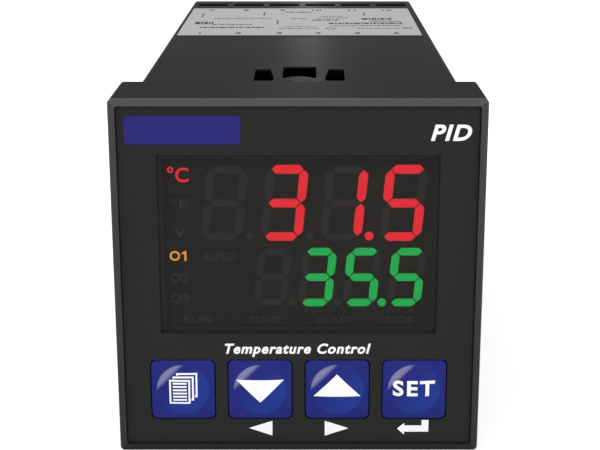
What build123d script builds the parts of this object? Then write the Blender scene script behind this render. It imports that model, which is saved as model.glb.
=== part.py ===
from build123d import *
import os
from math import radians, tan

os.makedirs("parts", exist_ok=True)

# Temperature controller for a square panel cut-out. X runs to the right of someone facing it,
# Y into the panel and Z up. The origin is the middle of the plane where the front frame meets
# the panel. Sizes are in millimetres.

# Body behind the panel
body = 44.8
body_corner = 0.8
body_length = 103.5
case_wall = 1.3
rear_wall = 2.0
rear_edge = 0.4

# Front frame
lip = 1.6            # how far the frame stands out past the body, all round
face_corner = 0.6
pocket_corner = 0.4  # inside the rim
face_round = 0.3
bezel_depth = 12.5
rim = 0.9
recess = 0.5
bezel_wall = 1.5
front_wall = 1.8
overlay_thick = 0.4

# Clearances
fit = 0.15           # between mouldings that fit in each other
slip = 0.1           # between a part and the pocket that it drops in
collar_fit = 0.25    # between the collar and the case
board_fit = 0.25     # around a board in its frame

# Display window, by its distances from the frame's edges and from the keys
window_side = 5.9
window_top = 7.37
window_above_keys = 3.86
lens_thick = 0.8
lens_border = 0.55   # seat of the lens, all round its opening

# Keys
key_height = 8.3
key_corner = 0.8
key_side = 4.385     # from the row of keys to the frame's sides
key_bottom = 4.47    # from the row of keys to the frame's bottom
key_space = 1.81
key_gap = 0.12
key_travel = 0.5
key_sunk = 0.2       # key's back, inside the back of the front wall
key_pocket = 1.2     # room for a key's lips, from the back of the front wall
key_lip = 0.7        # how far a key reaches behind the front wall, above and below
dome_inset = 0.5
dome_height = 0.35
stem_radius = 1.5
key_names = ("menu", "down", "up", "set")

# Key switches
switch_size = 6.0
switch_height = 3.4
switch_edge = 0.3
plunger_radius = 1.6
plunger_reach = 0.9
plunger_inside = 0.8

# Name plate and rating label, both bare
plate_width = 14.8
plate_height = 3.78
plate_left = 1.9
plate_top = 2.13
plate_thick = 0.1
plate_corner = 0.6
label_side = 1.3
label_length = 36.4
label_x = -0.25
label_rear = 13.3    # from the label to the rear
label_thick = 0.12

# Inner frame, collar and hooks
frame_wall = 1.6
frame_flange = 1.8
frame_lead = 0.8     # from the front wall to the frame
board_seat = 5.1     # from the front wall to the display board
collar_length = 8.0
seal_start = 2.4
seal_width = 2.0
seal_groove = 0.75
hook_width = 4.2
hook_root = 1.0      # how far a hook starts inside the collar
hook_thick = 1.3
hook_below = 0.5     # hook's top below the case's face
hook_reach = 5.8
hook_flat = 1.3
catch_width = 8.0
catch_height = 0.4
catch_length = 0.8

# Latch windows and terminal slots in the case
latch_width = 4.9
latch_start = 11.9
latch_length = 9.6
latch_arch = 1.3
latch_arch_width = 3.8
latch_corner = 0.5
side_slot_inner = 3.7
side_slot_width = 2.8
side_slot_start = 9.7
side_slot_length = 9.6
side_slot_taper = 0.6
dimple_x = 1.45
dimple_y = 10.0
dimple_radius = 0.22
dimple_depth = 0.2

# Display module
led_cell = 0.8       # depth of a segment's light well
led_bar = 0.7
led_gap = 0.05
slant = tan(radians(5.5))
digit_cells = 4
digit_gap = 0.12     # between the bars of a digit
digits_above = 0.8   # from the module's top to the upper row
rows_apart = 1.0
pv_space = 2.27      # between two digits of the upper row
pv_left = 5.235      # from the module's side to the upper row
pv_right = 1.135
pv_taller = 2.1      # how much taller the upper row is than the lower one
pv_bar = 0.207       # a bar's thickness, as a share of its digit's width
pv_point_radius = 0.57
pv_point_out = 0.555
pv_point_up = 0.64
sv_space = 1.38
sv_left = 11.815
sv_right = 1.065
sv_bar = 0.226
sv_point_radius = 0.54
sv_point_out = 0.415
sv_point_up = 0.51

# Small lit windows beside and under the digits
lamps_beside = 3
lamp_share = 0.225   # a lamp's height, as a share of its row of digits
lamp_inset = 0.2
lamp_left = 2.0      # from the module's side to the lamps' middles
unit_lamp_width = 3.2
output_lamp_width = 2.8
mode_lamp_left = 7.11
mode_lamp_width = 5.6
lamps_under = 4
lamp_under_height = 1.3
lamp_under_space = 3.6
lamps_below = 1.22   # from the lower row of digits to the lamps under it
lamps_edge = 0.28    # from those lamps to the module's bottom

# Pins
pin_pitch = 2.54
pin_size = 0.5
pin_inset = 1.2
pin_beside = 0.2     # between the module's pins and the headers
pin_out = 1.0
header_size = 2.5
header_pins = 8
driver_length = 10.3
driver_width = 7.5
driver_height = 2.0
chip_edge = 0.3

# Boards
display_board_thick = 1.2
board_thick = 1.6
board_side = 5.9     # from the middle plane of a long board to the inside of the case
board_edge = 0.5     # between a long board and the case
rib_height = 1.2
rib_width = 1.0
rib_gap = 0.15
rib_after_latch = 2.5
front_tongue = 30.0
tongue_in_socket = 0.8
board_start = 1.0    # behind the collar
socket_length = 9.0
socket_width = 6.0
socket_grip = 5.5
socket_below_contacts = 0.65
back_board_fit = 0.3
back_board_rear = 17.5   # from the back board's front to the rear
screw_inset = 1.55       # from a board screw's middle to the inside of the frame
post_beside = 0.13       # between a screw post and the switches
post_height = 2.8
clip_reach = 0.8         # the clips that hold the display board's upper edge
clip_width = 4.0
clip_length = 1.2
board_screw_radius = 0.8
board_screw_head = 1.25
board_screw_head_height = 1.0
board_screw_length = 3.0
cross_width = 0.4
cross_span = 1.6

# Terminals
poles = 6
pole_side = 0.4      # from the outermost cages to the inside of the case
slot_web = 1.2       # left between two slots
slot_length = 3.5
slot_rear = 6.7      # from the slots' middle to the rear
block_height = 12.0
nose_height = 9.7
nose_side = 0.45
nose_rise = 1.1      # nose's top below the block's top
nose_inset = 0.2
entry = 3.8
entry_lead = 0.35
entry_below = 7.6    # from the entries' middle to the inside of the case
cage_width = 5.4
cage_height = 7.2
cage_length = 4.6
cage_floor = 0.7
screw_radius = 1.5
screw_head_radius = 2.1
screw_head_height = 1.6
screw_slot = 0.6
screw_play = 0.05
access_radius = 2.3
contact_width = 3.0
contact_thick = 0.8
contact_out = 1.0

# Planes and places that follow from these
face = body + 2 * lip
front = -bezel_depth
overlay_front = front + recess
wall_front = overlay_front + overlay_thick
wall_back = wall_front + front_wall
lens_back = overlay_front + lens_thick
shoulder = wall_back - key_pocket
key_back = wall_back - key_sunk
led_front = lens_back + led_gap
board_front = wall_back + board_seat
board_back = board_front + display_board_thick
window_width = face - 2 * window_side
window_height = face - window_top - window_above_keys - key_height - key_bottom
window_z = face / 2 - window_top - window_height / 2
led_width = window_width - 2 * lens_border - 2 * slip
led_height = window_height - 2 * lens_border - 2 * slip
led_top = window_z + led_height / 2
key_width = (face - 2 * key_side - (len(key_names) - 1) * key_space) / len(key_names)
key_pitch = key_width + key_space
key_xs = [(i - (len(key_names) - 1) / 2) * key_pitch for i in range(len(key_names))]
key_z = -face / 2 + key_bottom + key_height / 2
dome_radius = min(key_width, key_height) / 2 - dome_inset
plate_x = -face / 2 + plate_left + plate_width / 2
plate_z = face / 2 - plate_top - plate_height / 2
label_width = body - 2 * label_side
label_y = body_length - label_rear - label_length / 2
switch_front = board_front - switch_height
plunger_front = switch_front - plunger_reach
bezel_inner = face - 2 * bezel_wall
inner = body - 2 * case_wall
collar = inner - 2 * collar_fit
frame_inner = collar - 2 * frame_wall
frame_front = wall_back + frame_lead
display_board_size = frame_inner - 2 * board_fit
board_x = inner / 2 - board_side
board_inner_x = board_x - board_thick / 2
block_back = body_length - rear_wall
back_board_y = body_length - back_board_rear
back_board_back = back_board_y + board_thick
slot_y = body_length - slot_rear
pole_pitch = (inner - cage_width - 2 * pole_side) / (poles - 1)
pole_xs = [(i - (poles - 1) / 2) * pole_pitch for i in range(poles)]
slot_width = pole_pitch - slot_web
nose_width = inner - 2 * nose_side
entry_z = inner / 2 - entry_below
contact_z = entry_z - entry / 2 + contact_thick / 2 + slip / 2
socket_height = 2 * (contact_z - contact_thick / 2 - socket_below_contacts)
rear_tongue = socket_height - 2 * tongue_in_socket
screw_z = frame_inner / 2 - screw_inset
post_width = key_pitch - switch_size - 2 * post_beside
rib_start = latch_start + latch_length + rib_after_latch
pins_per_row = int(2 * (board_inner_x - header_size - pin_beside - pin_size / 2) / pin_pitch) + 1


def at_depth(y):
    # Sketch plane that faces the front, y behind the panel's face. Extruding by a negative
    # amount goes on into the panel.
    return Plane.XZ.offset(-y)


def on_power(y, z, lift=0.0):
    # Sketch plane on the inner face of the power board, whose parts stand towards +X.
    return Plane(origin=(-board_inner_x + lift, y, z), x_dir=(0, 1, 0), z_dir=(1, 0, 0))


def on_control(y, z, lift=0.0):
    # Sketch plane on the inner face of the control board, whose parts stand towards -X.
    return Plane(origin=(board_inner_x - lift, y, z), x_dir=(0, 1, 0), z_dir=(-1, 0, 0))


# Case: one moulded sleeve with a rear wall, latch windows, screwdriver slots and board guides
with BuildPart() as case:
    with BuildSketch(at_depth(0)):
        RectangleRounded(body, body, body_corner)
    extrude(amount=-body_length)
    chamfer(case.faces().sort_by(Axis.Y)[-1].edges(), rear_edge)
    with BuildSketch(at_depth(0)):
        Rectangle(inner, inner)
    extrude(amount=-(body_length - rear_wall), mode=Mode.SUBTRACT)

    # Guide ribs above and below, a pair for each edge of the long boards
    with BuildSketch(at_depth(rib_start)):
        for side in (-1, 1):
            for edge in (-1, 1):
                for flank in (-1, 1):
                    rib_x = side * board_x + flank * (board_thick / 2 + rib_gap + rib_width / 2)
                    with Locations((rib_x, edge * (inner - rib_height) / 2)):
                        Rectangle(rib_width, rib_height)
    extrude(amount=-(back_board_y - rib_start))

    # Latch window with its arched catch, cut through top and bottom at once
    with BuildSketch(Plane.XY.offset(-body)) as latch_window:
        with BuildLine():
            left = -latch_width / 2
            arch = latch_arch_width / 2
            back_y = latch_start + latch_length
            Polyline((-arch, latch_start), (left, latch_start), (left, back_y),
                     (-left, back_y), (-left, latch_start), (arch, latch_start))
            ThreePointArc((arch, latch_start), (0, latch_start + latch_arch), (-arch, latch_start))
        make_face()
        fillet(latch_window.vertices().group_by(Axis.Y)[-1], latch_corner)
    extrude(amount=2 * body, mode=Mode.SUBTRACT)

    # A clamp slot each side of it, cut back at its inner rear corner
    with BuildSketch(Plane.XY.offset(-body)) as side_slots:
        with BuildLine():
            outer_x = side_slot_inner + side_slot_width
            end_y = side_slot_start + side_slot_length
            Polyline((side_slot_inner, side_slot_start), (outer_x, side_slot_start), (outer_x, end_y),
                     (side_slot_inner + side_slot_taper, end_y),
                     (side_slot_inner, side_slot_start + side_slot_length / 3), close=True)
        make_face()
        mirror(about=Plane.YZ)
    extrude(amount=2 * body, mode=Mode.SUBTRACT)

    # Slots over and under the terminal screws
    with BuildSketch(Plane.XY.offset(-body)):
        with Locations(*[(x, slot_y) for x in pole_xs]):
            Rectangle(slot_width, slot_length)
    extrude(amount=2 * body, mode=Mode.SUBTRACT)

    # Openings in the rear wall that the terminal blocks show through
    with BuildSketch(at_depth(block_back)):
        for edge in (-1, 1):
            with Locations((0, edge * (inner / 2 - fit - nose_rise - nose_height / 2))):
                Rectangle(nose_width + 2 * fit, nose_height + 2 * fit)
    extrude(amount=-2 * rear_wall, mode=Mode.SUBTRACT)

    # Two moulding marks in front of the latch window
    with Locations(*[Pos(x, dimple_y, body / 2) for x in (-dimple_x, dimple_x)]):
        Hole(radius=dimple_radius, depth=dimple_depth)
case.part.label = "case"
export_step(case.part, "parts/case.step")

# Bezel: the square front frame, with a raised rim and openings for the lens and the keys
with BuildPart() as bezel:
    with BuildSketch(at_depth(front)):
        RectangleRounded(face, face, face_corner)
    extrude(amount=-bezel_depth)
    fillet(bezel.faces().sort_by(Axis.Y)[0].edges(), face_round)
    with BuildSketch(at_depth(front)):
        RectangleRounded(face - 2 * rim, face - 2 * rim, pocket_corner)
    extrude(amount=-(recess + overlay_thick), mode=Mode.SUBTRACT)
    with BuildSketch(at_depth(wall_back)):
        Rectangle(bezel_inner, bezel_inner)
    extrude(amount=wall_back, mode=Mode.SUBTRACT)
    with BuildSketch(at_depth(front)):
        with Locations((0, window_z)):
            Rectangle(window_width - 2 * lens_border, window_height - 2 * lens_border)
        with Locations(*[(x, key_z) for x in key_xs]):
            RectangleRounded(key_width + 2 * key_gap, key_height + 2 * key_gap, key_corner)
    extrude(amount=front, mode=Mode.SUBTRACT)
    with BuildSketch(at_depth(front)):
        with Locations((0, window_z)):
            Rectangle(window_width, window_height)
    extrude(amount=-(lens_back - front), mode=Mode.SUBTRACT)
    with BuildSketch(at_depth(shoulder)):
        with Locations(*[(x, key_z) for x in key_xs]):
            Rectangle(key_width + 2 * key_gap, key_height + 2 * (key_lip + key_gap))
    extrude(amount=-key_pocket, mode=Mode.SUBTRACT)

    # Notches that the inner frame's catches click into
    with BuildSketch(at_depth(-(frame_flange + catch_length) / 2 - slip)):
        notch = bezel_inner + 2 * (catch_height + slip)
        Rectangle(catch_width + 2 * fit, notch)
        Rectangle(notch, catch_width + 2 * fit)
    extrude(amount=-(catch_length + 2 * slip), mode=Mode.SUBTRACT)
bezel.part.label = "bezel"
export_step(bezel.part, "parts/bezel.step")

# Inner frame: flange, collar and snap hooks that carry the display board into the case
with BuildPart() as inner_frame:
    with BuildSketch(at_depth(frame_front)):
        Rectangle(collar, collar)
        Rectangle(frame_inner, frame_inner, mode=Mode.SUBTRACT)
    extrude(amount=-(collar_length - frame_front))
    with BuildSketch(at_depth(-frame_flange)):
        Rectangle(bezel_inner - 2 * fit, bezel_inner - 2 * fit)
        Rectangle(frame_inner, frame_inner, mode=Mode.SUBTRACT)
    extrude(amount=-frame_flange)
    with BuildSketch(at_depth(-(frame_flange + catch_length) / 2)):
        Rectangle(catch_width, bezel_inner + 2 * catch_height)
        Rectangle(bezel_inner + 2 * catch_height, catch_width)
        Rectangle(frame_inner, frame_inner, mode=Mode.SUBTRACT)
    extrude(amount=-catch_length)

    # Groove for the seal
    with BuildSketch(at_depth(seal_start)):
        Rectangle(body, body)
        Rectangle(collar - 2 * seal_groove, collar - 2 * seal_groove, mode=Mode.SUBTRACT)
    extrude(amount=-seal_width, mode=Mode.SUBTRACT)

    # Hooks, with a ramp behind and a square face that catches the window's arched edge
    hook_under = frame_inner / 2
    hook_top = body / 2 - hook_below
    hook_face = latch_start + latch_arch + 2 * slip
    hook_end = hook_face + hook_reach
    with BuildSketch(Plane.YZ.offset(-hook_width / 2)):
        with BuildLine():
            Polyline((collar_length - hook_root, hook_under), (hook_end, hook_under + hook_thick / 4),
                     (hook_end, hook_under + hook_thick / 2), (hook_face + hook_flat, hook_top),
                     (hook_face, hook_top), (hook_face, hook_under + hook_thick),
                     (collar_length - hook_root, hook_under + hook_thick), close=True)
        make_face()
        mirror(about=Plane.XZ)
    extrude(amount=hook_width)

    # Posts for the display board's screws, below
    with BuildSketch(at_depth(frame_front)):
        with Locations(*[(x, -(frame_inner - post_height) / 2) for x in (-key_pitch, key_pitch)]):
            Rectangle(post_width, post_height)
    extrude(amount=-(board_front - frame_front))
    with BuildSketch(at_depth(board_front)):
        with Locations((-key_pitch, -screw_z), (key_pitch, -screw_z)):
            Circle(board_screw_radius + screw_play)
    extrude(amount=board_screw_length + slip, mode=Mode.SUBTRACT)

    # Clips that its upper edge slides into, a ledge in front of it and a hook behind
    hook_start = board_back + slip
    for clip_front, clip_back in ((frame_front, board_front), (hook_start, hook_start + clip_length)):
        with BuildSketch(at_depth(clip_front)):
            with Locations(*[(x, (frame_inner - clip_reach) / 2) for x in (-key_pitch, key_pitch)]):
                Rectangle(clip_width, clip_reach)
        extrude(amount=-(clip_back - clip_front))
inner_frame.part.label = "inner_frame"
export_step(inner_frame.part, "parts/inner_frame.step")

# Rubber ring in the collar's groove, against the inside of the case
with BuildPart() as case_seal:
    with BuildSketch(at_depth(seal_start + slip)):
        Rectangle(inner - slip, inner - slip)
        seal_inner = collar - 2 * seal_groove + slip
        Rectangle(seal_inner, seal_inner, mode=Mode.SUBTRACT)
    extrude(amount=-(seal_width - 2 * slip))
case_seal.part.label = "case_seal"
export_step(case_seal.part, "parts/case_seal.step")

# Overlay: the printed sheet inside the rim
with BuildPart() as overlay:
    with BuildSketch(at_depth(overlay_front)):
        sheet = face - 2 * rim - 2 * slip
        RectangleRounded(sheet, sheet, pocket_corner - slip)
        with Locations((0, window_z)):
            Rectangle(window_width, window_height, mode=Mode.SUBTRACT)
        with Locations(*[(x, key_z) for x in key_xs]):
            RectangleRounded(key_width + 2 * key_gap, key_height + 2 * key_gap, key_corner,
                             mode=Mode.SUBTRACT)
    extrude(amount=-overlay_thick)
overlay.part.label = "overlay"
export_step(overlay.part, "parts/overlay.step")

# Bare blue plate in the overlay's upper left corner
with BuildPart() as name_plate:
    with BuildSketch(at_depth(overlay_front)):
        with Locations((plate_x, plate_z)):
            RectangleRounded(plate_width, plate_height, plate_corner)
    extrude(amount=plate_thick)
name_plate.part.label = "name_plate"
export_step(name_plate.part, "parts/name_plate.step")

# Lens: smoked window, flush with the overlay and seated on the border of its opening
with BuildPart() as lens:
    with BuildSketch(at_depth(overlay_front)):
        with Locations((0, window_z)):
            Rectangle(window_width - slip, window_height - slip)
    extrude(amount=-lens_thick)
lens.part.label = "lens"
export_step(lens.part, "parts/lens.step")

# Rating label on top of the case
with BuildPart() as rating_label:
    with BuildSketch(Plane.XY.offset(body / 2)):
        with Locations((label_x, label_y)):
            Rectangle(label_width, label_length)
    extrude(amount=label_thick)
rating_label.part.label = "rating_label"
export_step(rating_label.part, "parts/rating_label.step")

# Keys, their switches and the switches' plungers, one of each for every key
for key_name, key_x in zip(key_names, key_xs):
    with BuildPart() as key:
        with BuildSketch(at_depth(overlay_front)):
            with Locations((key_x, key_z)):
                RectangleRounded(key_width, key_height, key_corner)
        extrude(amount=-(key_back - overlay_front))
        with BuildSketch(at_depth(shoulder + slip)):
            with Locations((key_x, key_z)):
                Rectangle(key_width, key_height + 2 * key_lip)
        extrude(amount=-(key_back - shoulder - slip))
        with BuildSketch(at_depth(key_back)):
            with Locations((key_x, key_z)):
                Circle(stem_radius)
        extrude(amount=-(plunger_front - key_back))
        with BuildSketch(Plane(origin=(key_x, overlay_front, key_z))):
            with BuildLine():
                dome_chord = (dome_radius ** 2 + dome_height ** 2) / (2 * dome_height)
                Line((dome_radius, 0), (0, 0))
                Line((0, 0), (0, -dome_height))
                RadiusArc((0, -dome_height), (dome_radius, 0), -dome_chord)
            make_face()
        revolve(axis=Axis((key_x, 0, key_z), (0, 1, 0)))
    key.part.label = f"key_{key_name}"
    export_step(key.part, f"parts/key_{key_name}.step")

    with BuildPart() as plunger:
        with BuildSketch(at_depth(plunger_front)):
            with Locations((key_x, key_z)):
                Circle(plunger_radius)
        extrude(amount=-(plunger_reach + plunger_inside))
    plunger.part.label = f"plunger_{key_name}"
    export_step(plunger.part, f"parts/plunger_{key_name}.step")

    with BuildPart() as switch:
        with BuildSketch(at_depth(switch_front)):
            with Locations((key_x, key_z)):
                Rectangle(switch_size, switch_size)
        extrude(amount=-switch_height)
        chamfer(switch.faces().sort_by(Axis.Y)[0].edges(), switch_edge)
        with BuildSketch(at_depth(switch_front)):
            with Locations((key_x, key_z)):
                Circle(plunger_radius + slip)
        extrude(amount=-(plunger_inside + key_travel + 2 * slip), mode=Mode.SUBTRACT)
    switch.part.label = f"switch_{key_name}"
    export_step(switch.part, f"parts/switch_{key_name}.step")


# Seven-segment digits. A digit's own middle is (0, 0), and its segments run a to g, clockwise
# from the top with g across the middle.
segments_of = {" ": "", "0": "abcdef", "1": "bc", "2": "abged", "3": "abgcd", "4": "fgbc",
               "5": "afgcd", "6": "afgedc", "7": "abc", "8": "abcdefg", "9": "abcdfg"}


def bar_outline(start, end, thick, gap):
    # Six corners of a segment between two corners of the digit, pointed at both ends.
    (x0, z0), (x1, z1) = start, end
    length = max(abs(x1 - x0), abs(z1 - z0))
    ux, uz = (x1 - x0) / length, (z1 - z0) / length
    half = thick / 2
    along = ((gap, 0), (gap + half, half), (length - gap - half, half),
             (length - gap, 0), (length - gap - half, -half), (gap + half, -half))
    return [(x0 + a * ux - c * uz, z0 + a * uz + c * ux) for a, c in along]


def digit_bars(width, height, thick, gap):
    w, h = (width - thick) / 2, (height - thick) / 2
    ends = {"a": ((-w, h), (w, h)), "b": ((w, h), (w, 0)), "c": ((w, 0), (w, -h)),
            "d": ((-w, -h), (w, -h)), "e": ((-w, 0), (-w, -h)), "f": ((-w, h), (-w, 0)),
            "g": ((-w, 0), (w, 0))}
    return {name: bar_outline(*pair, thick, gap) for name, pair in ends.items()}


def row_bars(row):
    # Every bar and point of a row of digits as (outline or centre, lit), leaning by the slant.
    bars, points = [], []
    outlines = digit_bars(row["width"], row["height"], row["thick"], digit_gap)
    cells = row["reading"].replace(".", "")
    point_after = row["reading"].index(".") - 1
    for i, figure in enumerate(cells):
        x = row["last_x"] - (len(cells) - 1 - i) * row["pitch"]
        for name, outline in outlines.items():
            leaning = [(x + px + pz * slant, row["z"] + pz) for px, pz in outline]
            bars.append((leaning, name in segments_of[figure]))
        if i < len(cells) - 1:
            points.append(((x + row["point_x"], row["z"] + row["point_z"]), i == point_after))
    return bars, points


rows_height = led_height - digits_above - rows_apart - lamps_below - lamp_under_height - lamps_edge
sv_height = (rows_height - pv_taller) / 2
pv_height = sv_height + pv_taller
pv_z = led_top - digits_above - pv_height / 2
sv_z = pv_z - pv_height / 2 - rows_apart - sv_height / 2
pv_pitch = (led_width - pv_left - pv_right + pv_space) / digit_cells
sv_pitch = (led_width - sv_left - sv_right + sv_space) / digit_cells
pv_width = pv_pitch - pv_space
sv_width = sv_pitch - sv_space
pv_row = {"reading": " 31.5", "width": pv_width, "height": pv_height, "thick": pv_bar * pv_width,
          "pitch": pv_pitch, "last_x": (led_width - pv_width) / 2 - pv_right, "z": pv_z,
          "point_x": pv_width / 2 + pv_point_out, "point_z": pv_point_up - pv_height / 2,
          "point_radius": pv_point_radius}
sv_row = {"reading": " 35.5", "width": sv_width, "height": sv_height, "thick": sv_bar * sv_width,
          "pitch": sv_pitch, "last_x": (led_width - sv_width) / 2 - sv_right, "z": sv_z,
          "point_x": sv_width / 2 + sv_point_out, "point_z": sv_point_up - sv_height / 2,
          "point_radius": sv_point_radius}


def lamp_column(x, z, row_height, width):
    # Three lamps one above the other beside a row of digits, as (x, z, width, height).
    height = lamp_share * row_height
    step = (row_height - height) / (lamps_beside - 1) - lamp_inset
    return [(x, z + (1 - i) * step, width, height) for i in range(lamps_beside)]


unit_lamps = lamp_column(lamp_left - led_width / 2, pv_z, pv_height, unit_lamp_width)
output_lamps = lamp_column(lamp_left - led_width / 2, sv_z, sv_height, output_lamp_width)
mode_lamp = (mode_lamp_left - led_width / 2, output_lamps[0][1], mode_lamp_width, output_lamps[0][3])
under_z = window_z - led_height / 2 + lamps_edge + lamp_under_height / 2
under_pitch = led_width / lamps_under
under_lamps = [((i - (lamps_under - 1) / 2) * under_pitch, under_z, under_pitch - lamp_under_space,
                lamp_under_height) for i in range(lamps_under)]
dark_lamps = unit_lamps[1:] + output_lamps[1:] + [mode_lamp] + under_lamps


def row_sketch(row, lit, grow):
    # Bars and points of a row that are lit or dark, or all of them where lit is None.
    bars, points = row_bars(row)
    for outline, on in bars:
        if lit is None or on == lit:
            with BuildLine() as edge:
                Polyline(*outline, close=True)
            bar = make_face(edge.edges(), mode=Mode.PRIVATE)
            add(offset(bar, amount=grow, kind=Kind.INTERSECTION, mode=Mode.PRIVATE) if grow else bar)
    for centre, on in points:
        if lit is None or on == lit:
            with Locations(centre):
                Circle(row["point_radius"] + grow)


def light_sketch(lights, grow):
    for x, z, width, height in lights:
        with Locations((x, z)):
            Rectangle(width + 2 * grow, height + 2 * grow)


# Display module: dark block with a light well for each segment and each small window
with BuildPart() as display_module:
    with BuildSketch(at_depth(led_front)):
        with Locations((0, window_z)):
            Rectangle(led_width, led_height)
    extrude(amount=-(board_front - led_front))
    for row in (pv_row, sv_row):
        with BuildSketch(at_depth(led_front)):
            row_sketch(row, None, led_gap)
        extrude(amount=-led_cell, mode=Mode.SUBTRACT)
    with BuildSketch(at_depth(led_front)):
        light_sketch(unit_lamps + output_lamps + [mode_lamp] + under_lamps, led_gap)
    extrude(amount=-led_cell, mode=Mode.SUBTRACT)
display_module.part.label = "display_module"
export_step(display_module.part, "parts/display_module.step")

# Light bars that fill the wells, lit and dark ones apart
for row, row_name in ((pv_row, "pv"), (sv_row, "sv")):
    for lit, state in ((True, "lit"), (False, "dark")):
        with BuildPart() as digits:
            with BuildSketch(at_depth(led_front)):
                row_sketch(row, lit, 0)
            extrude(amount=-led_bar)
        digits.part.label = f"{row_name}_digits_{state}"
        export_step(digits.part, f"parts/{row_name}_digits_{state}.step")

for lights, lights_name in ((unit_lamps[:1], "unit_light"), (output_lamps[:1], "output_light"),
                            (dark_lamps, "dark_lights")):
    with BuildPart() as small_lights:
        with BuildSketch(at_depth(led_front)):
            light_sketch(lights, 0)
        extrude(amount=-led_bar)
    small_lights.part.label = lights_name
    export_step(small_lights.part, f"parts/{lights_name}.step")

# Display board, with holes for the module's pins and for its own screws
pin_places = [((i - (pins_per_row - 1) / 2) * pin_pitch, window_z + side * (led_height / 2 - pin_inset))
              for i in range(pins_per_row) for side in (-1, 1)]
screw_places = [(-key_pitch, -screw_z), (key_pitch, -screw_z)]
with BuildPart() as display_board:
    with BuildSketch(at_depth(board_front)):
        Rectangle(display_board_size, display_board_size)
        with Locations(*pin_places):
            Rectangle(pin_size + slip, pin_size + slip, mode=Mode.SUBTRACT)
        with Locations(*screw_places):
            Circle(board_screw_radius + slip, mode=Mode.SUBTRACT)
    extrude(amount=-display_board_thick)
display_board.part.label = "display_board"
export_step(display_board.part, "parts/display_board.step")

with BuildPart() as display_pins:
    with BuildSketch(at_depth(board_front)):
        with Locations(*pin_places):
            Rectangle(pin_size, pin_size)
    extrude(amount=-(display_board_thick + pin_out))
display_pins.part.label = "display_pins"
export_step(display_pins.part, "parts/display_pins.step")

with BuildPart() as board_screws:
    with BuildSketch(at_depth(board_back)):
        with Locations(*screw_places):
            Circle(board_screw_radius)
    extrude(amount=display_board_thick + board_screw_length)
    with BuildSketch(at_depth(board_back)):
        with Locations(*screw_places):
            Circle(board_screw_head)
    extrude(amount=-board_screw_head_height)
    with BuildSketch(at_depth(board_back + board_screw_head_height)):
        with Locations(*screw_places):
            Rectangle(cross_width, cross_span)
            Rectangle(cross_span, cross_width)
    extrude(amount=board_screw_head_height / 2, mode=Mode.SUBTRACT)
board_screws.part.label = "board_screws"
export_step(board_screws.part, "parts/board_screws.step")

with BuildPart() as display_driver:
    with BuildSketch(at_depth(board_back)):
        with Locations((0, window_z)):
            Rectangle(driver_length, driver_width)
    extrude(amount=-driver_height)
    chamfer(display_driver.faces().sort_by(Axis.Y)[-1].edges(), chip_edge)
display_driver.part.label = "display_driver"
export_step(display_driver.part, "parts/display_driver.step")

# Long boards: full height between the guides, a tongue at each end
board_height = inner - 2 * board_edge
board_wide_start = collar_length + board_start
socket_front = back_board_y - socket_length
board_wide_end = socket_front - board_edge
for side, board_name in ((-1, "power_board"), (1, "control_board")):
    with BuildPart() as long_board:
        with BuildSketch(Plane.YZ.offset(side * board_x)):
            with Locations(((board_wide_start + board_wide_end) / 2, 0)):
                Rectangle(board_wide_end - board_wide_start, board_height)
            with Locations(((board_back + slip + board_wide_start) / 2, 0)):
                Rectangle(board_wide_start - board_back - slip, front_tongue)
            with Locations((board_wide_end + (board_edge + socket_grip) / 2, 0)):
                Rectangle(board_edge + socket_grip, rear_tongue)
        extrude(amount=board_thick / 2, both=True)
    long_board.part.label = board_name
    export_step(long_board.part, f"parts/{board_name}.step")

    # Pin header in the corner between the display board and the long board
    header_name = board_name.replace("board", "header")
    with BuildPart() as header:
        header_x = side * (board_inner_x - header_size / 2)
        with BuildSketch(at_depth(board_back)):
            with Locations((header_x, 0)):
                Rectangle(header_size, header_pins * pin_pitch)
        extrude(amount=-header_size)
        with BuildSketch(at_depth(board_back + header_size)):
            with Locations((header_x, 0)):
                with GridLocations(pin_pitch, pin_pitch, 1, header_pins):
                    Rectangle(pin_size, pin_size)
        extrude(amount=-pin_out)
    header.part.label = header_name
    export_step(header.part, f"parts/{header_name}.step")

    # Card socket on the back board, which grips the long board's rear tongue
    socket_name = board_name.replace("board", "socket")
    with BuildPart() as socket:
        with BuildSketch(at_depth(socket_front)):
            with Locations((side * board_x, 0)):
                Rectangle(socket_width, socket_height)
        extrude(amount=-socket_length)
        with BuildSketch(at_depth(socket_front)):
            with Locations((side * board_x, 0)):
                Rectangle(board_thick + 2 * slip, rear_tongue + 2 * slip)
        extrude(amount=-(socket_grip + slip), mode=Mode.SUBTRACT)
    socket.part.label = socket_name
    export_step(socket.part, f"parts/{socket_name}.step")

# Back board: joins the sockets to the terminals
contact_places = [(x, edge * contact_z) for x in pole_xs for edge in (-1, 1)]
with BuildPart() as back_board:
    with BuildSketch(at_depth(back_board_y)):
        Rectangle(inner - 2 * back_board_fit, inner - 2 * back_board_fit)
        with Locations(*contact_places):
            Rectangle(contact_width + slip, contact_thick + slip, mode=Mode.SUBTRACT)
    extrude(amount=-board_thick)
back_board.part.label = "back_board"
export_step(back_board.part, "parts/back_board.step")

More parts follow.
